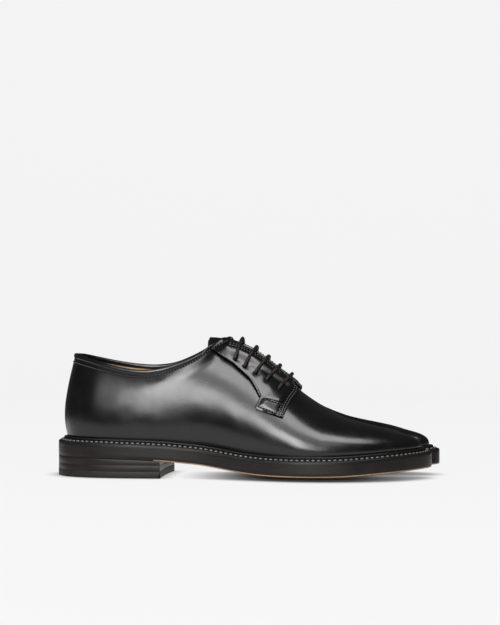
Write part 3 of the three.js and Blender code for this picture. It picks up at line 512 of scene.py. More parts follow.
# Top ends move smoothly through each run of rows on one line, alike on both sides of the shoe.
rib_at_share = np.zeros(N)
moves = lambda row: row[4] != row[5]
k = 0
while k < len(RIBS) - 1:
    j = k
    while j + 1 < len(RIBS) - 1 and RIBS[j + 1][3] == RIBS[k][3] and moves(RIBS[j + 1]) == moves(RIBS[k]):
        j += 1
    at = [RIBS[q][4] for q in range(k, j + 1)] + [RIBS[j][5]]
    run = {"u": starts[k : j + 2].astype(float), "at": np.array(at, float)}
    inside = (u >= starts[k]) & (u < starts[j + 1])
    rib_at_share[inside] = column(run, "at", u[inside], "u")
    k = j + 1

foot, out = on_seam(rib_s), out_of_seam(rib_s)
top, fall, middle = np.zeros((N, 3)), np.zeros(N), np.zeros((N, 2))
for name in LINES:
    pick = rib_line == name
    top[pick], fall[pick] = top_at(name, rib_at_share[pick])
    middle[pick] = middle_at(name, rib_at_share[pick], top[pick])
collar = np.array([name.endswith("Collar") for name in rib_line])
low = np.column_stack([foot, storm_top(foot[:, 0]) - 0.4])
inward = unit(top[:, :2] - foot)
arrive = unit(np.column_stack([inward, fall * inward[:, 0]]))
climb = np.radians(np.where(collar, column(CLIMB, "climb", rib_at_share), 0))[:, None]
arrive = arrive * np.cos(climb) + np.array([0, 0, 1]) * np.sin(climb)
lean = np.radians(column(knots, "lean", u, "u"))[:, None]
leave = np.column_stack([out * np.sin(lean), np.cos(lean)])
span = np.linalg.norm(top - low, axis=1, keepdims=True)
below = leave * column(knots, "rise", u, "u")[:, None] * span
above = arrive * column(knots, "crown", u, "u")[:, None] * span


def smoothed(values, width):
    """Values round the ring, averaged with their neighbours."""
    k = np.arange(-3 * width, 3 * width + 1)
    w = np.exp(-0.5 * (k / width) ** 2)
    w /= w.sum()
    return sum(wk * np.roll(values, -kk, axis=0) for kk, wk in zip(k, w))


def evened(values, reach):
    """Values round the ring, averaged over so many millimetres of the seam line."""
    gap = np.abs(rib_s[:, None] - rib_s[None, :])
    gap = np.minimum(gap, TOTAL - gap)
    step = np.abs(np.roll(rib_s, -1) - np.roll(rib_s, 1))
    step = np.minimum(step, TOTAL - step)
    weight = np.exp(-0.5 * (gap / reach[:, None]) ** 2) * step[None, :]
    return (weight / weight.sum(1, keepdims=True)) @ values


reach = 4 + 12 * (1 - ease(foot[:, 0], 110, 165))
round_corner = evened(top, 0.5 + 14 * ease(foot[:, 0], 5, 45) * (1 - ease(foot[:, 0], 95, 140)))
below, above = evened(smoothed(below, 4), reach), evened(smoothed(above, 4), reach)
CONTROL = np.stack([low, low + below, round_corner - above, round_corner, top - round_corner], 1)


def bezier(c, t):
    """Points up a rib; its last control is the sharp corner of the collar, felt only near the top."""
    t = np.asarray(t)[..., None]
    low, mid, high, end, corner = (c[..., k, :] for k in range(5))
    curve = low * (1 - t) ** 3 + 3 * mid * t * (1 - t) ** 2 + 3 * high * t * t * (1 - t) + end * t ** 3
    return curve + corner * ease(t, 0.72, 1)


def climb_of(c, t):
    t = np.clip(t, 0.004, 0.996)
    return (bezier(c, t + 0.004) - bezier(c, t - 0.004)) / 0.008


print("fine ribs:", N)

# %% [markdown]
# ## The upper
# One hollow skin, two millimetres thick: black calf outside, tan lining inside. It could be shrunk onto a
# solid last, but two offset faces joined at the collar and at the foot give a true wall, and the
# lining then shows its own colour just inside the collar.

# %% Upper
LEVELS = 44
share = np.linspace(0, 1, LEVELS + 1)
skin_grid = bezier(CONTROL[:, None], share[None, :])
around = np.roll(skin_grid, -1, axis=0) - np.roll(skin_grid, 1, axis=0)
upward = climb_of(CONTROL[:, None], share[None, :])
normal = unit(np.cross(around, upward))
plane = unit(np.column_stack([-fall, np.zeros(N), np.ones(N)]))
normal[~collar, -1] = plane[~collar]
out3 = np.column_stack([out, np.zeros(N)])
rising = np.where(collar[:, None], 0, share[None, :])[..., None]
ref = out3[:, None] * (1 - rising) + np.array([0, 0, 1.0]) * rising
normal *= np.where((normal * ref).sum(-1, keepdims=True) < 0, -1.0, 1.0)
fan = np.linalg.norm(around, axis=-1)
thin = np.where(collar[:, None], 1, np.clip(fan / 0.4, 0.1, 1))[..., None]
foot_row = np.column_stack([foot, sole_top(foot[:, 0]) + GAP])
settle = np.clip(1 - share / 0.12, 0, 1)[None, :, None]
normal = unit(normal * (1 - settle) + out3[:, None] * settle)


# The leather sinks into a soft groove along the rear edge of each facing.
DEEP, WIDE = 0.85, 1.5
groove = DEEP * np.exp(-((line_distance(skin_grid[..., [0, 2]], REAR) / WIDE) ** 2))
groove *= ease(1 - share, 0.03, 0.1) * (foot[:, 0] < 150)[:, None]
outside = np.concatenate([foot_row[:, None], skin_grid - normal * groove[..., None]], axis=1)
inside = np.concatenate([(foot_row - out3 * WALL)[:, None], skin_grid - normal * WALL * thin], axis=1)
M = LEVELS + 2
wall_faces = grid_faces(N, M, True)[:, [0, 3, 2, 1]]
faces = wall_faces.tolist() + (wall_faces[:, ::-1] + N * M).tolist()
slot_of_face = [0] * len(wall_faces) + [1] * len(wall_faces)
open_top = collar | ((rib_line == "spine") & (rib_at_share < 1e-9))
for i in range(N):
    k = (i + 1) % N
    faces.append([k * M, i * M, i * M + N * M, k * M + N * M])
    slot_of_face.append(1)
    if open_top[i] and open_top[k]:
        a, b = i * M + M - 1, k * M + M - 1
        faces.append([a, b, b + N * M, a + N * M])
        slot_of_face.append(0)


def welded(piece, distance=1e-6):
    """Merges touching points and turns the faces outward."""
    bm = bmesh.new()
    bm.from_mesh(piece.data)
    bmesh.ops.remove_doubles(bm, verts=bm.verts, dist=distance)
    bmesh.ops.dissolve_degenerate(bm, dist=1e-7, edges=bm.edges)
    bmesh.ops.recalc_face_normals(bm, faces=bm.faces)
    bm.to_mesh(piece.data)
    bm.free()
    return piece


both_faces = np.concatenate([outside.reshape(-1, 3), inside.reshape(-1, 3)])
upper = new_object("upper_leather", both_faces, faces)
black_calf = bpy.data.materials.new("black_calf")
tan_lining = bpy.data.materials.new("tan_lining")
upper.data.materials.append(black_calf)
upper.data.materials.append(tan_lining)
upper.data.polygons.foreach_set("material_index", slot_of_face)
welded(upper, 2e-6)
print("upper faces:", len(upper.data.polygons))

# %% [markdown]
# ## Lacing flaps, tongue and throat
# On a derby the two facings are sewn over the vamp, and the tongue lies in the throat under them. They
# follow the upper's own skin, lifted by their thickness. To find a place on that skin, a helper takes
# how far down the lacing a point is and how far up its rib. The leather dips along the stitch rows and
# round each eyelet, and is pressed down at the facing's rear edge.

# %% Places on the skin
def strip(side):
    half = (rib_s < heel_s - 1e-6) if side == "inner" else (rib_s >= heel_s - 1e-6)
    pick = np.where(((rib_line == "spine") | collar) & half)[0]
    w = np.where(rib_line[pick] == "spine", rib_at_share[pick], -rib_at_share[pick])
    order = np.argsort(w, kind="stable")
    return w[order], CONTROL[pick][order]


STRIPS = {side: strip(side) for side in ("inner", "outer")}


def rib_near(side, w):
    ws, c = STRIPS[side]
    i = np.clip(np.searchsorted(ws, w) - 1, 0, len(ws) - 2)
    f = ((w - ws[i]) / np.maximum(ws[i + 1] - ws[i], 1e-9))[..., None, None]
    return c[i] * (1 - f) + c[i + 1] * f


def skin(side, w, t, off=0.0):
    """Points so far off the upper's outer face, and the ways out of it."""
    w, t, off = np.broadcast_arrays(np.asarray(w, float), np.asarray(t, float), np.asarray(off, float))
    turn = 1 if side == "outer" else -1
    here = rib_near(side, w)
    across = (bezier(rib_near(side, w + 0.02), t) - bezier(rib_near(side, w - 0.02), t)) * turn
    n = unit(np.cross(across, climb_of(here, t)))
    return bezier(here, t) + n * off[..., None], n


def share_at(side, w, y):
    """How far up the rib at w its side is y."""
    t = np.linspace(0.25, 1, 240)
    w, y = np.broadcast_arrays(np.asarray(w, float), np.asarray(y, float))
    out = np.empty(w.size)
    for q, (wq, yq) in enumerate(zip(w.ravel(), y.ravel())):
        ys = bezier(rib_near(side, np.full(t.shape, wq)), t)[:, 1]
        out[q] = np.interp(yq, ys, t) if side == "outer" else np.interp(-yq, -ys, t)
    return out.reshape(w.shape)


def flap_lift(y):
    edge = np.where(y < 2, TONGUE["outer"] - y, y - TONGUE["inner"])
    return (TONGUE["thick"] + GAP) * (1 - ease(edge, 0.6, 7))


print("throat from", round(float(skin("outer", 0.0, 1.0)[0][0]), 1), "mm")


# %% Solid helpers
def plate(name, outer, inner):
    """A closed plate between two grids of the same size."""
    h, w = outer.shape[:2]
    quads = grid_faces(h, w)
    rim = (
        list(range(w - 1)) + [r * w + w - 1 for r in range(h - 1)]
        + list(range((h - 1) * w + w - 1, (h - 1) * w, -1)) + [r * w for r in range(h - 1, 0, -1)]
    )
    faces = quads.tolist() + (quads[:, ::-1] + h * w).tolist()
    faces += [[a, b, b + h * w, a + h * w] for a, b in zip(rim, rim[1:] + rim[:1])]
    points = np.concatenate([outer.reshape(-1, 3), inner.reshape(-1, 3)])
    return welded(new_object(name, points, faces))


def ringed(name, rings):
    """A closed solid through like rings, with a flat face at both ends."""
    n, m = rings.shape[:2]
    ends = [list(range(m)), list(range((n - 1) * m, n * m))]
    faces = grid_faces(n, m, False, True).tolist() + ends
    return welded(new_object(name, rings.reshape(-1, 3), faces))


def tube(name, path, radius, sides=16):
    """A round cord along points, closed at both ends, with its length in the UV map."""
    path = np.asarray(path, float)
    run = unit(np.gradient(path, axis=0))
    up = unit(np.cross(run, np.array([0.96, 0.0, 0.28])))
    other = np.cross(run, up)
    a = np.linspace(0, 2 * math.pi, sides, endpoint=False)
    round_way = np.cos(a)[None, :, None] * up[:, None] + np.sin(a)[None, :, None] * other[:, None]
    rings = path[:, None] + radius * round_way
    n = len(path)
    arc = arc_of(path)
    faces = grid_faces(n, sides, False, True).tolist()
    faces += [list(range(sides))[::-1], list(range((n - 1) * sides, n * sides))]
    uvs = []
    for start, end in zip(arc[:-1], arc[1:]):
        for j in range(sides):
            left, right = j / sides, (j + 1) / sides
            uvs += [(left, start), (right, start), (right, end), (left, end)]
    uvs += [(0, 0)] * (2 * sides)
    piece = new_object(name, rings.reshape(-1, 3), faces)
    layer = piece.data.uv_layers.new(name="along")
    layer.data.foreach_set("uv", np.array(uvs, float).ravel())
    return piece


def cut(piece, tool, operation="DIFFERENCE"):
    """Cuts a piece by a helper solid, which is then deleted."""
    step = piece.modifiers.new("cut", "BOOLEAN")
    step.operation, step.object, step.solver = operation, tool, "EXACT"
    done = bpy.data.meshes.new_from_object(piece.evaluated_get(bpy.context.evaluated_depsgraph_get()))
    piece.modifiers.clear()
    piece.data = done
    bpy.data.objects.remove(tool)
    return piece


def crisp(piece, degrees=38):
    """Smooth faces that meet sharply keep a crisp edge."""
    piece.data.polygons.foreach_set("use_smooth", [True] * len(piece.data.polygons))
    piece.data.set_sharp_from_angle(angle=math.radians(degrees))
    return piece


# %% Throat and tongue
def ridge_grid(front, wide, offset, past=1.0, rows=46, half=14):
    """A grid over the ridge from side to side, from the toe end up and on past the collar."""
    ws = np.linspace(front, 0.002, rows)
    q = np.linspace(0, 1, half)
    left = share_at("outer", ws, TONGUE["outer"] - wide)
    right = share_at("inner", ws, TONGUE["inner"] + wide)
    off = offset(ws)[:, None]
    a = skin("outer", ws[:, None], left[:, None] + (1 - left[:, None]) * q, off)[0]
    b = skin("inner", ws[:, None], right[:, None] + (1 - right[:, None]) * q, off)[0]
    grid = np.concatenate([a, b[:, -2::-1]], axis=1)
    steps = np.array([(6, 0.6), (11, 1.2), (16, 1.4)]) * (past, 1)
    more = [grid[-1] + (-back, 0, up) for back, up in steps]
    return np.concatenate([grid, np.array(more)])


def tongue_lift(w):
    return TONGUE["thick"] + (0.5 - TONGUE["thick"]) * ease(w, 0.62, TONGUE["front"])


cutter = plate(
    "cutter", ridge_grid(TONGUE["front"] + 0.006, 0.7, lambda w: w * 0 + 6.0, 1.6),
    ridge_grid(TONGUE["front"] + 0.006, 0.7, lambda w: w * 0 - 6.0, 1.6),
)
cut(upper, cutter)
crisp(upper)
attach(upper, "root")
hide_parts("upper")
tongue = plate(
    "tongue_leather", ridge_grid(TONGUE["front"], 0, tongue_lift),
    ridge_grid(TONGUE["front"], 0, lambda w: w * 0 - WALL),
)
crisp(tongue)
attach(tongue, "root")
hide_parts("tongue")
print("tongue faces:", len(tongue.data.polygons))


# %% Facings
def rounded(points, cuts=2):
    """An outline with its corners eased."""
    p = np.asarray(points, float)
    for _ in range(cuts):
        q = np.roll(p, -1, axis=0)
        short = np.minimum(0.25, 0.8 / np.maximum(np.linalg.norm(q - p, axis=1), 1e-6))[:, None]
        p = np.stack([p + (q - p) * short, q + (p - q) * short], 1).reshape(-1, 2)
    return p


SHAPE = rounded(FLAP_SHAPE)
ROWS = (1.5, 3.6)  # stitch rows along the lacing, from its edge
TAB_BOX = FLAP_SHAPE[[7, 8, 6, 6, 7]] + ((3.0, 1.6), (1.6, -0.9), (-1.4, 9.6), (-5.2, 2.4), (3.0, 1.6))
TAB_MIDDLE = TAB_BOX[:4].mean(0) + ((-3.5, 0.9), (3.5, -0.9))
DOWN, UP = 170, 96  # points of a facing's grid down the lacing and up its ribs
LOWEST = 0.26  # share of a rib where that grid starts
DRILL_SIDES = 28


def dent(distance, deep, wide):
    """A soft trough at some distance from a line or point."""
    return deep * np.exp(-((distance / wide) ** 2))


def facing(side, name):
    ws = np.linspace(-0.3, 0.84, DOWN)
    stop = share_at(side, ws, FLAP[side])
    q = np.linspace(0, 1, UP)
    t = LOWEST + (stop[:, None] - LOWEST) * q
    w = np.repeat(ws[:, None], len(q), 1)
    ground = skin(side, w, t)[0]
    seen = ground[..., [0, 2]]
    rim = line_distance(seen, np.vstack([SHAPE, SHAPE[:1]]))
    sewn = ease(rim, 1.5, 9)
    lift = 0.1 + (FLAP["under"] - 0.1) * sewn + flap_lift(ground[..., 1])
    d = np.minimum(rim, np.abs(ground[..., 1] - FLAP[side]) * 1.1)
    rear = line_distance(seen, REAR)
    soft = 1.4 + 1.6 * (1 - ease(rear, 0, 4))
    edge = np.sqrt(1 - (1 - np.clip(d / soft, 0, 1)) ** 2)
    thick = (1.5 + (FLAP["thick"] - 1.5) * sewn) * (0.35 + 0.65 * edge)
    lacing = np.minimum(np.abs(ground[..., 1] - FLAP[side]) * 1.1, line_distance(seen, FLAP_SHAPE[1:7]))
    above_tab = ground[..., 2] > FLAP_SHAPE[6, 1] + 1
    for inset in ROWS:
        thick -= dent(lacing - inset, 0.25, 0.55) * above_tab
    thick -= dent(line_distance(seen, TAB_BOX), 0.3, 0.7)
    thick += dent(line_distance(seen, TAB_MIDDLE), 0.45, 3.2)
    eyes = [(eye, outer if side == "outer" else inner) for eye, _, outer, inner in HOLES]
    places = [skin(side, eye, share_at(side, eye, goal)) for eye, goal in eyes]
    for centre, _ in places:
        thick -= dent(np.linalg.norm(ground - centre, axis=-1), 0.5, 3.0)
    over, under = skin(side, w, t, lift + thick)[0], skin(side, w, t, lift)[0]
    piece = plate(name, over, under)
    top = BVHTree.FromPolygons(over.reshape(-1, 3).tolist(), grid_faces(DOWN, UP).tolist())
    sign = -1 if side == "outer" else 1
    prism = np.array([[(x, y, z) for x, z in SHAPE] for y in (-sign, sign * 71)])
    cut(piece, ringed("prism", prism), "INTERSECT")
    for centre, way in places:
        e1 = unit(np.cross(way, (0, 0, 1.0)))
        e2 = np.cross(way, e1)
        turn = np.linspace(0, 2 * math.pi, DRILL_SIDES, endpoint=False)[:, None]
        ring = EYELET / 2 * (np.cos(turn) * e1 + np.sin(turn) * e2)
        cut(piece, ringed("drill", np.stack([centre - way + ring, centre + way * 9 + ring])))
    crisp(piece, 42)
    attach(piece, "root")
    return piece, top


facing_out, top_out = facing("outer", "facing_outer")
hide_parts("facing_lateral")
facing_in, top_in = facing("inner", "facing_inner")
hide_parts("facing_medial")
print("facings:", len(facing_out.data.polygons), len(facing_in.data.polygons))

# %% [markdown]
# ## Laces
# Five straight bars of round waxed cord cross the gap. Each one comes up through an eyelet, bends over
# its edge and runs to the eyelet on the other side, where it goes down again. The cord is a tube swept
# along a smooth path, so that its braid can follow its length.

# %% Laces
def lace_bar(k, hole):
    eye, over, outer, inner = hole
    mid = 3.0

    def lie(y, off):
        side = "outer" if y < mid else "inner"
        goal = outer if side == "outer" else inner
        w = over + (eye - over) * ((y - mid) / (goal - mid)) ** 2
        t = 1.0 if y == mid else float(share_at(side, w, y))
        lift = FLAP["under"] + float(flap_lift(np.float64(y)))
        return skin(side, w, t, lift + off)[0]

    height = FLAP["thick"] + LACE / 2 + 0.1
    half = lambda side, goal: [
        lie(goal, -0.2), lie(goal, height - 1.6), lie(goal + (FLAP[side] - goal) * 0.1, height - 0.05)
    ] + [lie(goal + (FLAP[side] - goal) * q, height + 0.05) for q in (0.35, 0.7, 1.0)]
    middle_part = [lie(-2.0, height - 0.1), lie(mid, height - 0.1)]
    path = half("outer", outer) + middle_part + half("inner", inner)[::-1]
    line, arc = curve_through(path, 12)
    piece = tube(f"lace_{k + 1}", line, LACE / 2)
    crisp(piece, 60)
    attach(piece, "root")
    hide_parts(f"lace_bar_{k + 1}")
    return piece, arc[-1]


laces = [lace_bar(k, hole) for k, hole in enumerate(HOLES)]
print("lace bars, mm:", [round(float(length), 1) for _, length in laces])

# %% [markdown]
# ## Collar binding
# The collar's edge is a narrow strip of leather, rolled over the edge and sewn down. It is a soft
# section swept along the collar from one facing round the heel to the other.

# %% Binding
# Section of the roll, out of and up from the collar's edge.
ROLL = np.array([
    (0.25, -0.8), (0.9, 0.6), (0.75, 2.2), (-0.4, 3.05), (-1.7, 2.9), (-2.65, 1.9), (-2.6, 0.4),
    (-2.2, -0.8),
])
ws = np.linspace(-0.012, -0.998, 200)
parts = []
for side, order in (("outer", ws), ("inner", ws[::-1])):
    over_flap = 1.9 * (1 - ease(-order, 0.16, 0.24))
    base, way = skin(side, order, 1.0, over_flap)
    rise = unit(climb_of(rib_near(side, order), np.ones(len(order))))
    parts.append((base, way, rise, 0.25 + 0.75 * ease(-order, 0.01, 0.12)))
base, way, rise, size = (np.concatenate([a, b]) for a, b in zip(*parts))
closed_roll = np.vstack([ROLL, ROLL[:1]])
section = curve_through(closed_roll, 4)[0][:-1]
spread = way[:, None] * section[None, :, :1] + rise[:, None] * section[None, :, 1:]
binding = crisp(ringed("collar_roll", base[:, None] + size[:, None, None] * spread), 60)
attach(binding, "root")
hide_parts("collar_binding")
print("binding length, mm:", round(float(arc_of(base)[-1]), 1))

# %% [markdown]
# ## Sole, welt and heel
# A storm welt goes all the way round, also through the split: a flat lip that is stitched to the
# outsole, and a raised ridge pressed against the upper. Welt, outsole and lifts are cut level and
# finished together as one dark edge. Each is a stack of outlines round the seam line, from the inside
# out, so that the same outline drives all of them.

# %% Outsole, insole and welt
SOLE_REACH = reach_at(rib_s)
SOLE_REACH = np.where(SOLE_REACH > 2.3, smoothed(SOLE_REACH, 2), SOLE_REACH)


def stack(name, levels):
    """Outlines joined one to the next: each level is (reach, share from the middle, height)."""
    rings = []
    for reach, v, height in levels:
        rim = foot + out * np.reshape(reach, (-1, 1))
        p = rim if v >= 1 else middle + (rim - middle) * v
        rings.append(np.column_stack([p, height(p[:, 0])]))
    return new_object(name, np.concatenate(rings), grid_faces(len(rings), N, False, True))


def marked(piece, under_slot, limit, start):
    """Faces in front of `start` that look down get the second material."""
    for face in piece.data.polygons:
        if face.normal.z < limit and face.center.x * 1000 > start:
            face.material_index = under_slot
    return piece


full = SOLE_REACH
bottom = [
    (full - 0.9, v, lambda x, v=v: middle_z(x) + (edge_z(x) - middle_z(x)) * float(ease(v, 0.35, 1)))
    for v in (0, 0.2, 0.35, 0.45, 0.55, 0.65, 0.75, 0.85, 0.93, 0.999)
]
side = [
    (full - 0.5, 1, lambda x: edge_z(x) + 0.1), (full, 1, lambda x: edge_z(x) + 1.0),
    (full, 1, lambda x: edge_z(x) + 3.5), (full, 1, lambda x: sole_top(x) - 0.3), (full, 1, sole_top),
]
top_rows = [(full, v, sole_top) for v in (0.9, 0.6, 0.3, 0)]
outsole = welded(stack("outsole_leather", bottom + side + top_rows))
marked(outsole, 1, -0.25, 38)
crisp(outsole, 50)
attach(outsole, "root")
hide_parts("outsole")

inner = np.full(N, -WALL - 0.6)
seat = lambda x: sole_top(x) + GAP
insole = welded(stack("insole_leather", [
    (inner, 0, seat), (inner, 0.5, seat), (inner, 1, seat), (inner, 1, lambda x: seat(x) + INSOLE - 0.6),
    (inner - 0.5, 1, lambda x: seat(x) + INSOLE), (inner - 0.5, 0.5, lambda x: seat(x) + INSOLE),
    (inner - 0.5, 0, lambda x: seat(x) + INSOLE),
]))
crisp(insole, 50)
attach(insole, "root")
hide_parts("insole")

# Welt section: distance from the seam line, share of the reach, height over the sole.
WELT_SECTION = (
    (GAP, 0, -GAP), (0, 1, -GAP), (0, 1, WELT - 1.2), (-0.2, 1, WELT - 0.55), (-0.75, 1, WELT - 0.1),
    (0, 0.8, WELT + 0.1), (0, 0.7, WELT + 0.1), (0, 0.6, WELT - 0.5), (0, 0.47, WELT - 0.4),
    (0, 0.41, WELT + 0.6), (0, 0.4, WELT + STORM - 0.9), (0, 0.37, WELT + STORM - 0.3),
    (0, 0.31, WELT + STORM), (0.4, 0.16, WELT + STORM + 0.05), (0.55, 0, WELT + STORM - 0.1),
    (GAP, 0, WELT + STORM - 0.7),
)
welt_reach = SOLE_REACH - 0.05
rings = []
for start, part, up in WELT_SECTION:
    d = np.minimum(start + part * welt_reach, welt_reach)
    p = foot + out * d[:, None]
    rings.append(np.column_stack([p, sole_top(p[:, 0]) + GAP + up]))
n = len(rings)
welt = new_object("storm_welt", np.concatenate(rings), grid_faces(n, N, True, True))
# The groove's faces take a matte black finish, darker than the welt: painted shade in the stitched
# channel.
GROOVE_PAINTED_SHADE = range(6, 10)  # steps of the section that lie in the stitched channel
welt.data.materials.append(bpy.data.materials.new("stained_welt"))
welt.data.materials.append(bpy.data.materials.new("painted_shade_channel"))
welt.data.polygons.foreach_set("material_index", [int(a in GROOVE_PAINTED_SHADE) for a in range(n) for _ in range(N)])
crisp(welded(welt), 50)
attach(welt, "root")
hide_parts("welt")
print("outsole, insole, welt:", [len(o.data.polygons) for o in (outsole, insole, welt)])


# %% Heel
def heel_outline(grow):
    s = np.arange(foot_of("inner", 0.36), foot_of("outer", 0.36), 1.2)
    p = on_seam(s) + out_of_seam(s) * (reach_at(s) + grow)[:, None]
    p = p[p[:, 0] < HEEL / 2 - 0.6]
    y = np.linspace(p[-1, 1], p[0, 1], 24)
    hollow = 1.5 * (1 - ((2 * y - p[0, 1] - p[-1, 1]) / (p[0, 1] - p[-1, 1])) ** 2)
    return np.vstack([p, np.column_stack([HEEL / 2 + grow - hollow, y])])


def heel_piece(name, grow, low, high, node, soften):
    """A lift with eased edges."""
    bit = soften * 0.3
    rows = [
        (grow - soften, 0), (grow - bit, bit), (grow, soften), (grow, -soften), (grow - bit, -bit),
        (grow - soften, 0),
    ]
    rings = []
    for k, (g, z) in enumerate(rows):
        p = heel_outline(g)
        height = (low(p[:, 0]) if k < 3 else high(p[:, 0])) + z
        rings.append(np.column_stack([p, height]))
    m = len(rings[0])
    faces = grid_faces(len(rings), m, False, True).tolist()
    faces += [list(range(m)), list(range(5 * m, 6 * m))]
    piece = crisp(welded(new_object(name, np.concatenate(rings), faces)), 50)
    for face in piece.data.polygons:
        face.material_index = int(face.normal.x > 0.8)  # the breast
    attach(piece, "root")
    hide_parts(node)
    return piece


level = lambda z: (lambda x: np.full(np.shape(x), float(z)))
low_joint, high_joint = level(TOP_PIECE + GAP / 2), level(TOP_PIECE + GAP + LIFT + GAP / 2)
under_sole = lambda x: edge_z(x) + 0.1
top_piece = heel_piece("heel_top_piece", 0.0, level(0), low_joint, "top_piece", 0.12)
lift = heel_piece(
    "heel_lift_leather", -0.12, low_joint, high_joint, "heel_lift", 0.08
)
wedge = heel_piece(
    "heel_wedge_leather", -0.12, high_joint, under_sole, "heel_wedge", 0.08
)
print("heel pieces:", [len(o.data.polygons) for o in (top_piece, lift, wedge)])

# %% [markdown]
# ## Stitches
# Stitches are what the eye checks first on a welted shoe. Each one is a small rounded bead pressed into
# the leather. All the beads of one seam are one mesh, laid along a path with the surface's own way out,
# so that a row follows every curve of its panel. Under each row lies a thin matte black strip, which is
# painted shade between the beads.

# %% Stitch rows
def bead_shape(sides=8, steps=5):
    """A rounded bead two units long, its ring points first and its two tips last."""
    points = []
    for a in np.arange(1, steps) * math.pi / steps:
        blunt = math.copysign(abs(math.cos(a)) ** 0.6, math.cos(a))
        for b in np.arange(sides) * 2 * math.pi / sides:
            points.append((blunt, math.sin(a) * math.cos(b), math.sin(a) * math.sin(b)))
    m = len(points)
    around = [(q, (q + 1) % sides) for q in range(sides)]
    faces = grid_faces(steps - 1, sides, False, True).tolist()
    faces += [[m, after, q] for q, after in around]
    faces += [[m + 1, m - sides + q, m - sides + after] for q, after in around]
    return np.array(points + [(1, 0, 0), (-1, 0, 0)]), faces


BEAD, BEAD_FACES = bead_shape()


def stitches(name, path, ways, pitch, long, wide, high, slot_name, sink=0.15, slant=0.0, painted_shade_channel=1.3):
    """Beads along a path of points, lying on the surface, over a thin matte strip that is painted shade.
    """
    path, ways = np.asarray(path, float), np.asarray(ways, float)
    arc = arc_of(path)
    count = int(arc[-1] // pitch)
    mids = (np.arange(count) + 0.5) * arc[-1] / count
    at = lambda values, d: np.stack([np.interp(d, arc, values[:, c]) for c in range(3)], -1)
    centre, n = at(path, mids), unit(at(ways, mids))
    run = unit(at(path, mids + 0.4) - at(path, mids - 0.4))
    across = unit(np.cross(n, run))
    run = unit(run + across * slant)
    across = unit(np.cross(n, run))
    bead = (BEAD * (long / 2, wide / 2, high / 2))[None]
    points = centre[:, None] + n[:, None] * (high / 2 - sink) + (
        run[:, None] * bead[..., :1] + across[:, None] * bead[..., 1:2] + n[:, None] * bead[..., 2:]
    )
    bead_faces = [[a + k * len(BEAD) for a in f] for k in range(count) for f in BEAD_FACES]
    # A thin strip just over the surface under the beads, given the matte black finish: painted shade
    # between the stitches.
    side_way = unit(np.cross(ways, np.gradient(path, axis=0)))
    painted_shade_ribbon = [path + ways * 0.03 + side_way * way * wide * painted_shade_channel / 2 for way in (-1, 1)]
    painted_shade_faces = (grid_faces(2, len(path)) + count * len(BEAD)).tolist()
    piece = new_object(name, np.concatenate([points.reshape(-1, 3), *painted_shade_ribbon]), bead_faces + painted_shade_faces)
    slots = [0] * len(bead_faces) + [1] * len(painted_shade_faces)
    piece.data.polygons.foreach_set("material_index", slots)
    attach(piece, "root")
    return piece


def snapped(tree, points):
    """Points moved to the nearest place on a surface, with its way out."""
    found = [tree.find_nearest(Vector(p)) for p in points]
    return np.array([f[0] for f in found]), np.array([f[1] for f in found])


def on_flap(p):
    return p[:, 0] > np.interp(p[:, 2], REAR[:, 1], REAR[:, 0]) + 0.4


def collar_row(side, tree):
    """A row below the collar's edge, nearer to it at the front, on over the facing."""
    w = np.linspace(-0.03, -1.0, 130)
    t = np.linspace(0.5, 1, 160)
    out_t = []
    for wq in w:
        c = bezier(rib_near(side, np.full(t.shape, wq)), t)
        left = arc_of(c[::-1])[::-1]
        out_t.append(np.interp(-(1.8 + 2.2 * ease(-wq, 0.35, 0.9)), -left, t))
    p, n = skin(side, w, np.array(out_t))
    flap = on_flap(p)
    top_p, top_n = snapped(tree, p)
    top_n *= np.sign((top_n * n).sum(1, keepdims=True))
    return np.where(flap[:, None], top_p, p), np.where(flap[:, None], top_n, n)


FINE_STITCH = dict(
    pitch=2.3, long=1.3, wide=0.95, high=0.75, slot_name="upper_leather", sink=0.1, painted_shade_channel=1.5
)
(p1, n1), (p2, n2) = collar_row("outer", top_out), collar_row("inner", top_in)
thread = [stitches("collar_stitches", np.vstack([p1, p2[::-1]]), np.vstack([n1, n2[::-1]]), **FINE_STITCH)]


def flap_path(side, tree, rows):
    """Side-view points dropped onto a facing."""
    sign = -1 if side == "outer" else 1
    points, ways = [], []
    for x, z in rows:
        hit, way, _, _ = tree.ray_cast(Vector((x, sign * 200, z)), Vector((0, -sign, 0)))
        if hit is not None:
            way = np.array(way)
            points.append(np.array(hit))
            ways.append(way if way[1] * sign > 0 else -way)
    return np.array(points), np.array(ways)


def dense(corners, step=0.8):
    out_points = [np.array(corners[0], float)]
    for a, b in zip(corners[:-1], corners[1:]):
        a, b = np.array(a, float), np.array(b, float)
        k = max(1, int(np.linalg.norm(b - a) / step))
        out_points += [a + (b - a) * q / k for q in range(1, k + 1)]
    return np.array(out_points)


def flap_rows(side, tree, tag):
    """Double row by the lacing and the front edge, and the boxed tab."""
    made = []
    for k, inset in enumerate(ROWS):
        w = np.linspace(-0.02, 0.675 - inset * 0.006, 70)
        y = FLAP[side] + (-inset if side == "outer" else inset)
        off = FLAP["under"] + flap_lift(np.full(len(w), y)) + FLAP["thick"]
        base = skin(side, w, share_at(side, w, y), off)[0]
        ends = FLAP_SHAPE[[3, 4, 5, 6]] - (inset, 0)
        front = dense([ends[0] + (-0.2, 3), ends[0], ends[1], ends[2], ends[3] + (0.3, 1.8)])
        front_p, _ = flap_path(side, tree, front)
        curve = curve_through(np.vstack([base, front_p])[::3], 6)
        line = along_curve(curve, np.linspace(0, curve[1][-1], 160))
        line, way = snapped(tree, line)
        way *= np.sign(way[:, 1:2]) * (-1 if side == "outer" else 1)
        made.append(stitches(f"facing_stitches_{tag}_{k + 1}", line, way, **FINE_STITCH))
    p, n = flap_path(side, tree, dense(TAB_BOX))
    made.append(stitches(f"tab_stitches_{tag}", p, n, **FINE_STITCH))
    return made


thread += flap_rows("outer", top_out, "outer") + flap_rows("inner", top_in, "inner")
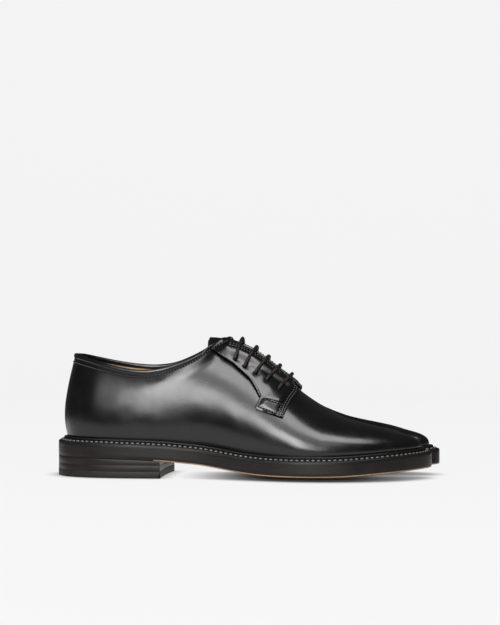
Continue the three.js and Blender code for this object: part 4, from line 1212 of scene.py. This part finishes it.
# The welt is stitched where it is wide: from one toe lobe round the heel to the other, not in the split.
STITCHED_AT = 0.64  # share of the welt's reach
lip = foot + out * (STITCHED_AT * welt_reach)[:, None]
wide_ribs = np.where(SOLE_REACH > 4)[0]
run = max(np.split(wide_ribs, np.where(np.diff(wide_ribs) > 1)[0] + 1), key=len)
lip3 = np.column_stack([lip, sole_top(lip[:, 0]) + GAP + WELT])[run]
up_ways = np.tile((0, 0, 1.0), (len(run), 1))
thread.append(stitches(
    "welt_stitches", lip3, up_ways, pitch=4.1, long=2.9, wide=1.5, high=1.4, slot_name="welt_leather",
    sink=0.25, slant=0.12, painted_shade_channel=0.5,
))
print("stitch rows:", len(thread))

# %% [markdown]
# ## Materials
# Each finish is built from nodes: a colour that varies a little, a roughness that varies with it, and
# a fine bump. The upper is polished calf, almost black: its gloss comes from a low roughness over a very
# fine grain. The edge of sole and heel is stained, with streaks along the layers. The sole's underside
# and the lining keep the tan of plain leather. The laces are waxed braid.

# %% Finish helpers
def finish(name, color, roughness, coat=0.0, coat_roughness=0.2, specular=0.5):
    made = bpy.data.materials.get(name) or bpy.data.materials.new(name)
    made.use_nodes = True
    shader = made.node_tree.nodes["Principled BSDF"]
    shader.inputs["Base Color"].default_value = (*color, 1)
    shader.inputs["Roughness"].default_value = roughness
    shader.inputs["Coat Weight"].default_value = coat
    shader.inputs["Coat Roughness"].default_value = coat_roughness
    shader.inputs["Specular IOR Level"].default_value = specular
    return made, made.node_tree, shader


def node(tree, kind, **values):
    made = tree.nodes.new(kind)
    for key, value in values.items():
        if hasattr(made, key):
            setattr(made, key, value)
        else:
            made.inputs[key.replace("_", " ")].default_value = value
    return made


EVEN = (1, 1, 1)  # a texture that isn't stretched


def placed(tree, scale):
    """The object's own coordinates, stretched by scale."""
    where = node(tree, "ShaderNodeTexCoord")
    turn = node(tree, "ShaderNodeMapping")
    turn.inputs["Scale"].default_value = scale
    tree.links.new(where.outputs["Object"], turn.inputs["Vector"])
    return turn.outputs["Vector"]


def noise(tree, scale, size, detail=4.0, rough=0.5):
    made = node(tree, "ShaderNodeTexNoise")
    made.inputs["Scale"].default_value = size
    made.inputs["Detail"].default_value = detail
    made.inputs["Roughness"].default_value = rough
    tree.links.new(placed(tree, scale), made.inputs["Vector"])
    return made.outputs["Fac"]


def mapped(tree, value, low, high, start=0.3, end=0.7):
    made = node(tree, "ShaderNodeMapRange")
    for key, number in (("From Min", start), ("From Max", end), ("To Min", low), ("To Max", high)):
        made.inputs[key].default_value = number
    tree.links.new(value, made.inputs["Value"])
    return made.outputs["Result"]


def blended(tree, value, one, two):
    made = node(tree, "ShaderNodeMix")
    made.data_type = "RGBA"
    made.inputs[6].default_value, made.inputs[7].default_value = (*one, 1), (*two, 1)
    tree.links.new(value, made.inputs[0])
    return made.outputs[2]


def tinted(tree, shader, value, dark, light):
    """A base colour between two tones."""
    tree.links.new(blended(tree, value, dark, light), shader.inputs["Base Color"])


def bumped(tree, shader, heights):
    """Stacks bumps: each is (height, strength, distance in metres)."""
    last = None
    for height, strength, distance in heights:
        made = node(tree, "ShaderNodeBump")
        made.inputs["Strength"].default_value = strength
        made.inputs["Distance"].default_value = distance
        tree.links.new(height, made.inputs["Height"])
        if last is not None:
            tree.links.new(last, made.inputs["Normal"])
        last = made.outputs["Normal"]
    tree.links.new(last, shader.inputs["Normal"])


def grain(tree, size):
    """Pores and fine folds of leather."""
    cells = node(tree, "ShaderNodeTexVoronoi")
    cells.feature = "DISTANCE_TO_EDGE"
    cells.inputs["Scale"].default_value = size
    tree.links.new(placed(tree, EVEN), cells.inputs["Vector"])
    return mapped(tree, cells.outputs["Distance"], 0, 1, 0, 0.25)


# %% Black calf
black_calf, tree, shader = finish("black_calf", (0.004, 0.004, 0.0042), 0.25, 0.0, 0.1, 0.56)
cloud = noise(tree, EVEN, 60.0, 3.0)
tree.links.new(mapped(tree, cloud, 0.22, 0.28), shader.inputs["Roughness"])
tinted(tree, shader, mapped(tree, cloud, 0, 1), (0.0015, 0.0015, 0.0016), (0.003, 0.003, 0.0031))
bumped(tree, shader, [
    (noise(tree, EVEN, 45.0, 2.0), 0.12, 0.002), (grain(tree, 1500.0), 0.02, 0.0002),
    (noise(tree, EVEN, 640.0, 3.0), 0.02, 0.0002),
])

# %% Tan lining
tan_lining, tree, shader = finish("tan_lining", (0.3, 0.19, 0.1), 0.62)
tone = noise(tree, EVEN, 90.0, 4.0)
tinted(tree, shader, mapped(tree, tone, 0, 1), (0.24, 0.15, 0.08), (0.36, 0.235, 0.13))
bumped(tree, shader, [(grain(tree, 1100.0), 0.15, 0.0003), (noise(tree, EVEN, 300.0, 3.0), 0.15, 0.0004)])

# %% Stained edge, welt and heel
def edge_finish(name, dark, light, roughness, streak):
    made, tree, shader = finish(name, dark, roughness, 0.0, 0.3, 0.16)
    lines = noise(tree, (0.25, 0.25, 6.0), 260.0, 5.0, 0.6)
    cloud = noise(tree, EVEN, 55.0, 4.0)
    both = node(tree, "ShaderNodeMath")
    both.operation = "MULTIPLY"
    tree.links.new(lines, both.inputs[0])
    tree.links.new(cloud, both.inputs[1])
    tinted(tree, shader, mapped(tree, both.outputs[0], 0, 1, 0.15, 0.36), dark, light)
    tree.links.new(mapped(tree, lines, roughness - 0.08, roughness + 0.12), shader.inputs["Roughness"])
    bumped(tree, shader, [(lines, streak, 0.0004), (noise(tree, EVEN, 700.0, 3.0), 0.12, 0.0002)])
    return made


sole_edge = edge_finish("stained_edge", (0.008, 0.007, 0.0064), (0.0125, 0.0106, 0.0093), 0.36, 0.16)
edge_finish("stained_welt", (0.005, 0.0047, 0.0045), (0.01, 0.009, 0.0085), 0.34, 0.15)
heel_edge = edge_finish("stained_lifts", (0.009, 0.0078, 0.007), (0.014, 0.0118, 0.01), 0.36, 0.18)
rubber, tree, shader = finish("heel_rubber", (0.014, 0.012, 0.009), 0.5, 0.0, 0.2, 0.16)
fleck = noise(tree, EVEN, 500.0, 4.0)
tinted(tree, shader, mapped(tree, fleck, 0, 1), (0.011, 0.0098, 0.0076), (0.019, 0.0165, 0.0125))
bumped(tree, shader, [(fleck, 0.2, 0.0003)])
bare_sole, tree, shader = finish("bare_sole", (0.26, 0.16, 0.09), 0.55)
tone = noise(tree, (0.4, 1, 1), 70.0, 5.0)
tinted(tree, shader, mapped(tree, tone, 0, 1), (0.2, 0.12, 0.065), (0.32, 0.2, 0.115))
bumped(tree, shader, [(noise(tree, EVEN, 400.0, 4.0), 0.2, 0.0004)])

# %% Waxed lace and thread
waxed, tree, shader = finish("waxed_lace", (0.01, 0.0075, 0.006), 0.42, 0.0, 0.3, 0.3)
where = node(tree, "ShaderNodeUVMap", uv_map="along")
turn = node(tree, "ShaderNodeMapping")
turn.inputs["Scale"].default_value = (4.0, 0.55, 1.0)
tree.links.new(where.outputs["UV"], turn.inputs["Vector"])
braid = []
for way in (1.0, -1.0):
    wave = node(tree, "ShaderNodeTexWave")
    wave.bands_direction = "DIAGONAL"
    wave.inputs["Scale"].default_value = 0.5
    flip = node(tree, "ShaderNodeMapping")
    flip.inputs["Scale"].default_value = (way, 1.0, 1.0)
    tree.links.new(turn.outputs["Vector"], flip.inputs["Vector"])
    tree.links.new(flip.outputs["Vector"], wave.inputs["Vector"])
    braid.append(wave.outputs["Fac"])
weave = node(tree, "ShaderNodeMath")
weave.operation = "MAXIMUM"
tree.links.new(braid[0], weave.inputs[0])
tree.links.new(braid[1], weave.inputs[1])
tinted(tree, shader, weave.outputs[0], (0.005, 0.004, 0.0036), (0.016, 0.011, 0.0085))
bumped(tree, shader, [(weave.outputs[0], 0.5, 0.0004)])
thread_black, tree, shader = finish("black_thread", (0.045, 0.044, 0.043), 0.32)
bumped(tree, shader, [(noise(tree, EVEN, 1500.0, 2.0), 0.3, 0.0002)])

for piece in (tongue, facing_out, facing_in, binding):
    piece.data.materials.append(black_calf)
# Matte black for the welt's groove and for the strips under the stitches: painted shade.
painted_shade_black, tree, shader = finish("painted_shade_channel", (0.0015, 0.0015, 0.0015), 0.8, 0.0, 0.2, 0.1)
welt_thread, tree, shader = finish("welt_thread", (0.09, 0.086, 0.082), 0.4, 0.3, 0.2)
bumped(tree, shader, [(noise(tree, EVEN, 1200.0, 2.0), 0.3, 0.0003)])
# The second finish is seen on the sole's underside and on the heel's breast.
two_finishes = (
    (outsole, sole_edge, bare_sole), (lift, heel_edge, heel_edge), (wedge, heel_edge, bare_sole),
    (top_piece, rubber, rubber),
)
insole.data.materials.append(tan_lining)
for piece, edge, other in two_finishes:
    piece.data.materials.append(edge)
    piece.data.materials.append(other)
for piece, _ in laces:
    piece.data.materials.append(waxed)
# The second slot of each stitch row, the strip under its beads, takes the painted shade finish.
for piece in thread:
    piece.data.materials.append(welt_thread if piece.name.startswith("welt") else thread_black)
    piece.data.materials.append(painted_shade_black)
print("materials:", len(bpy.data.materials))

# %% Finish
size = {"cad": cad_box, "scene": [list(corner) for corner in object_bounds()]}
print("size:", size)
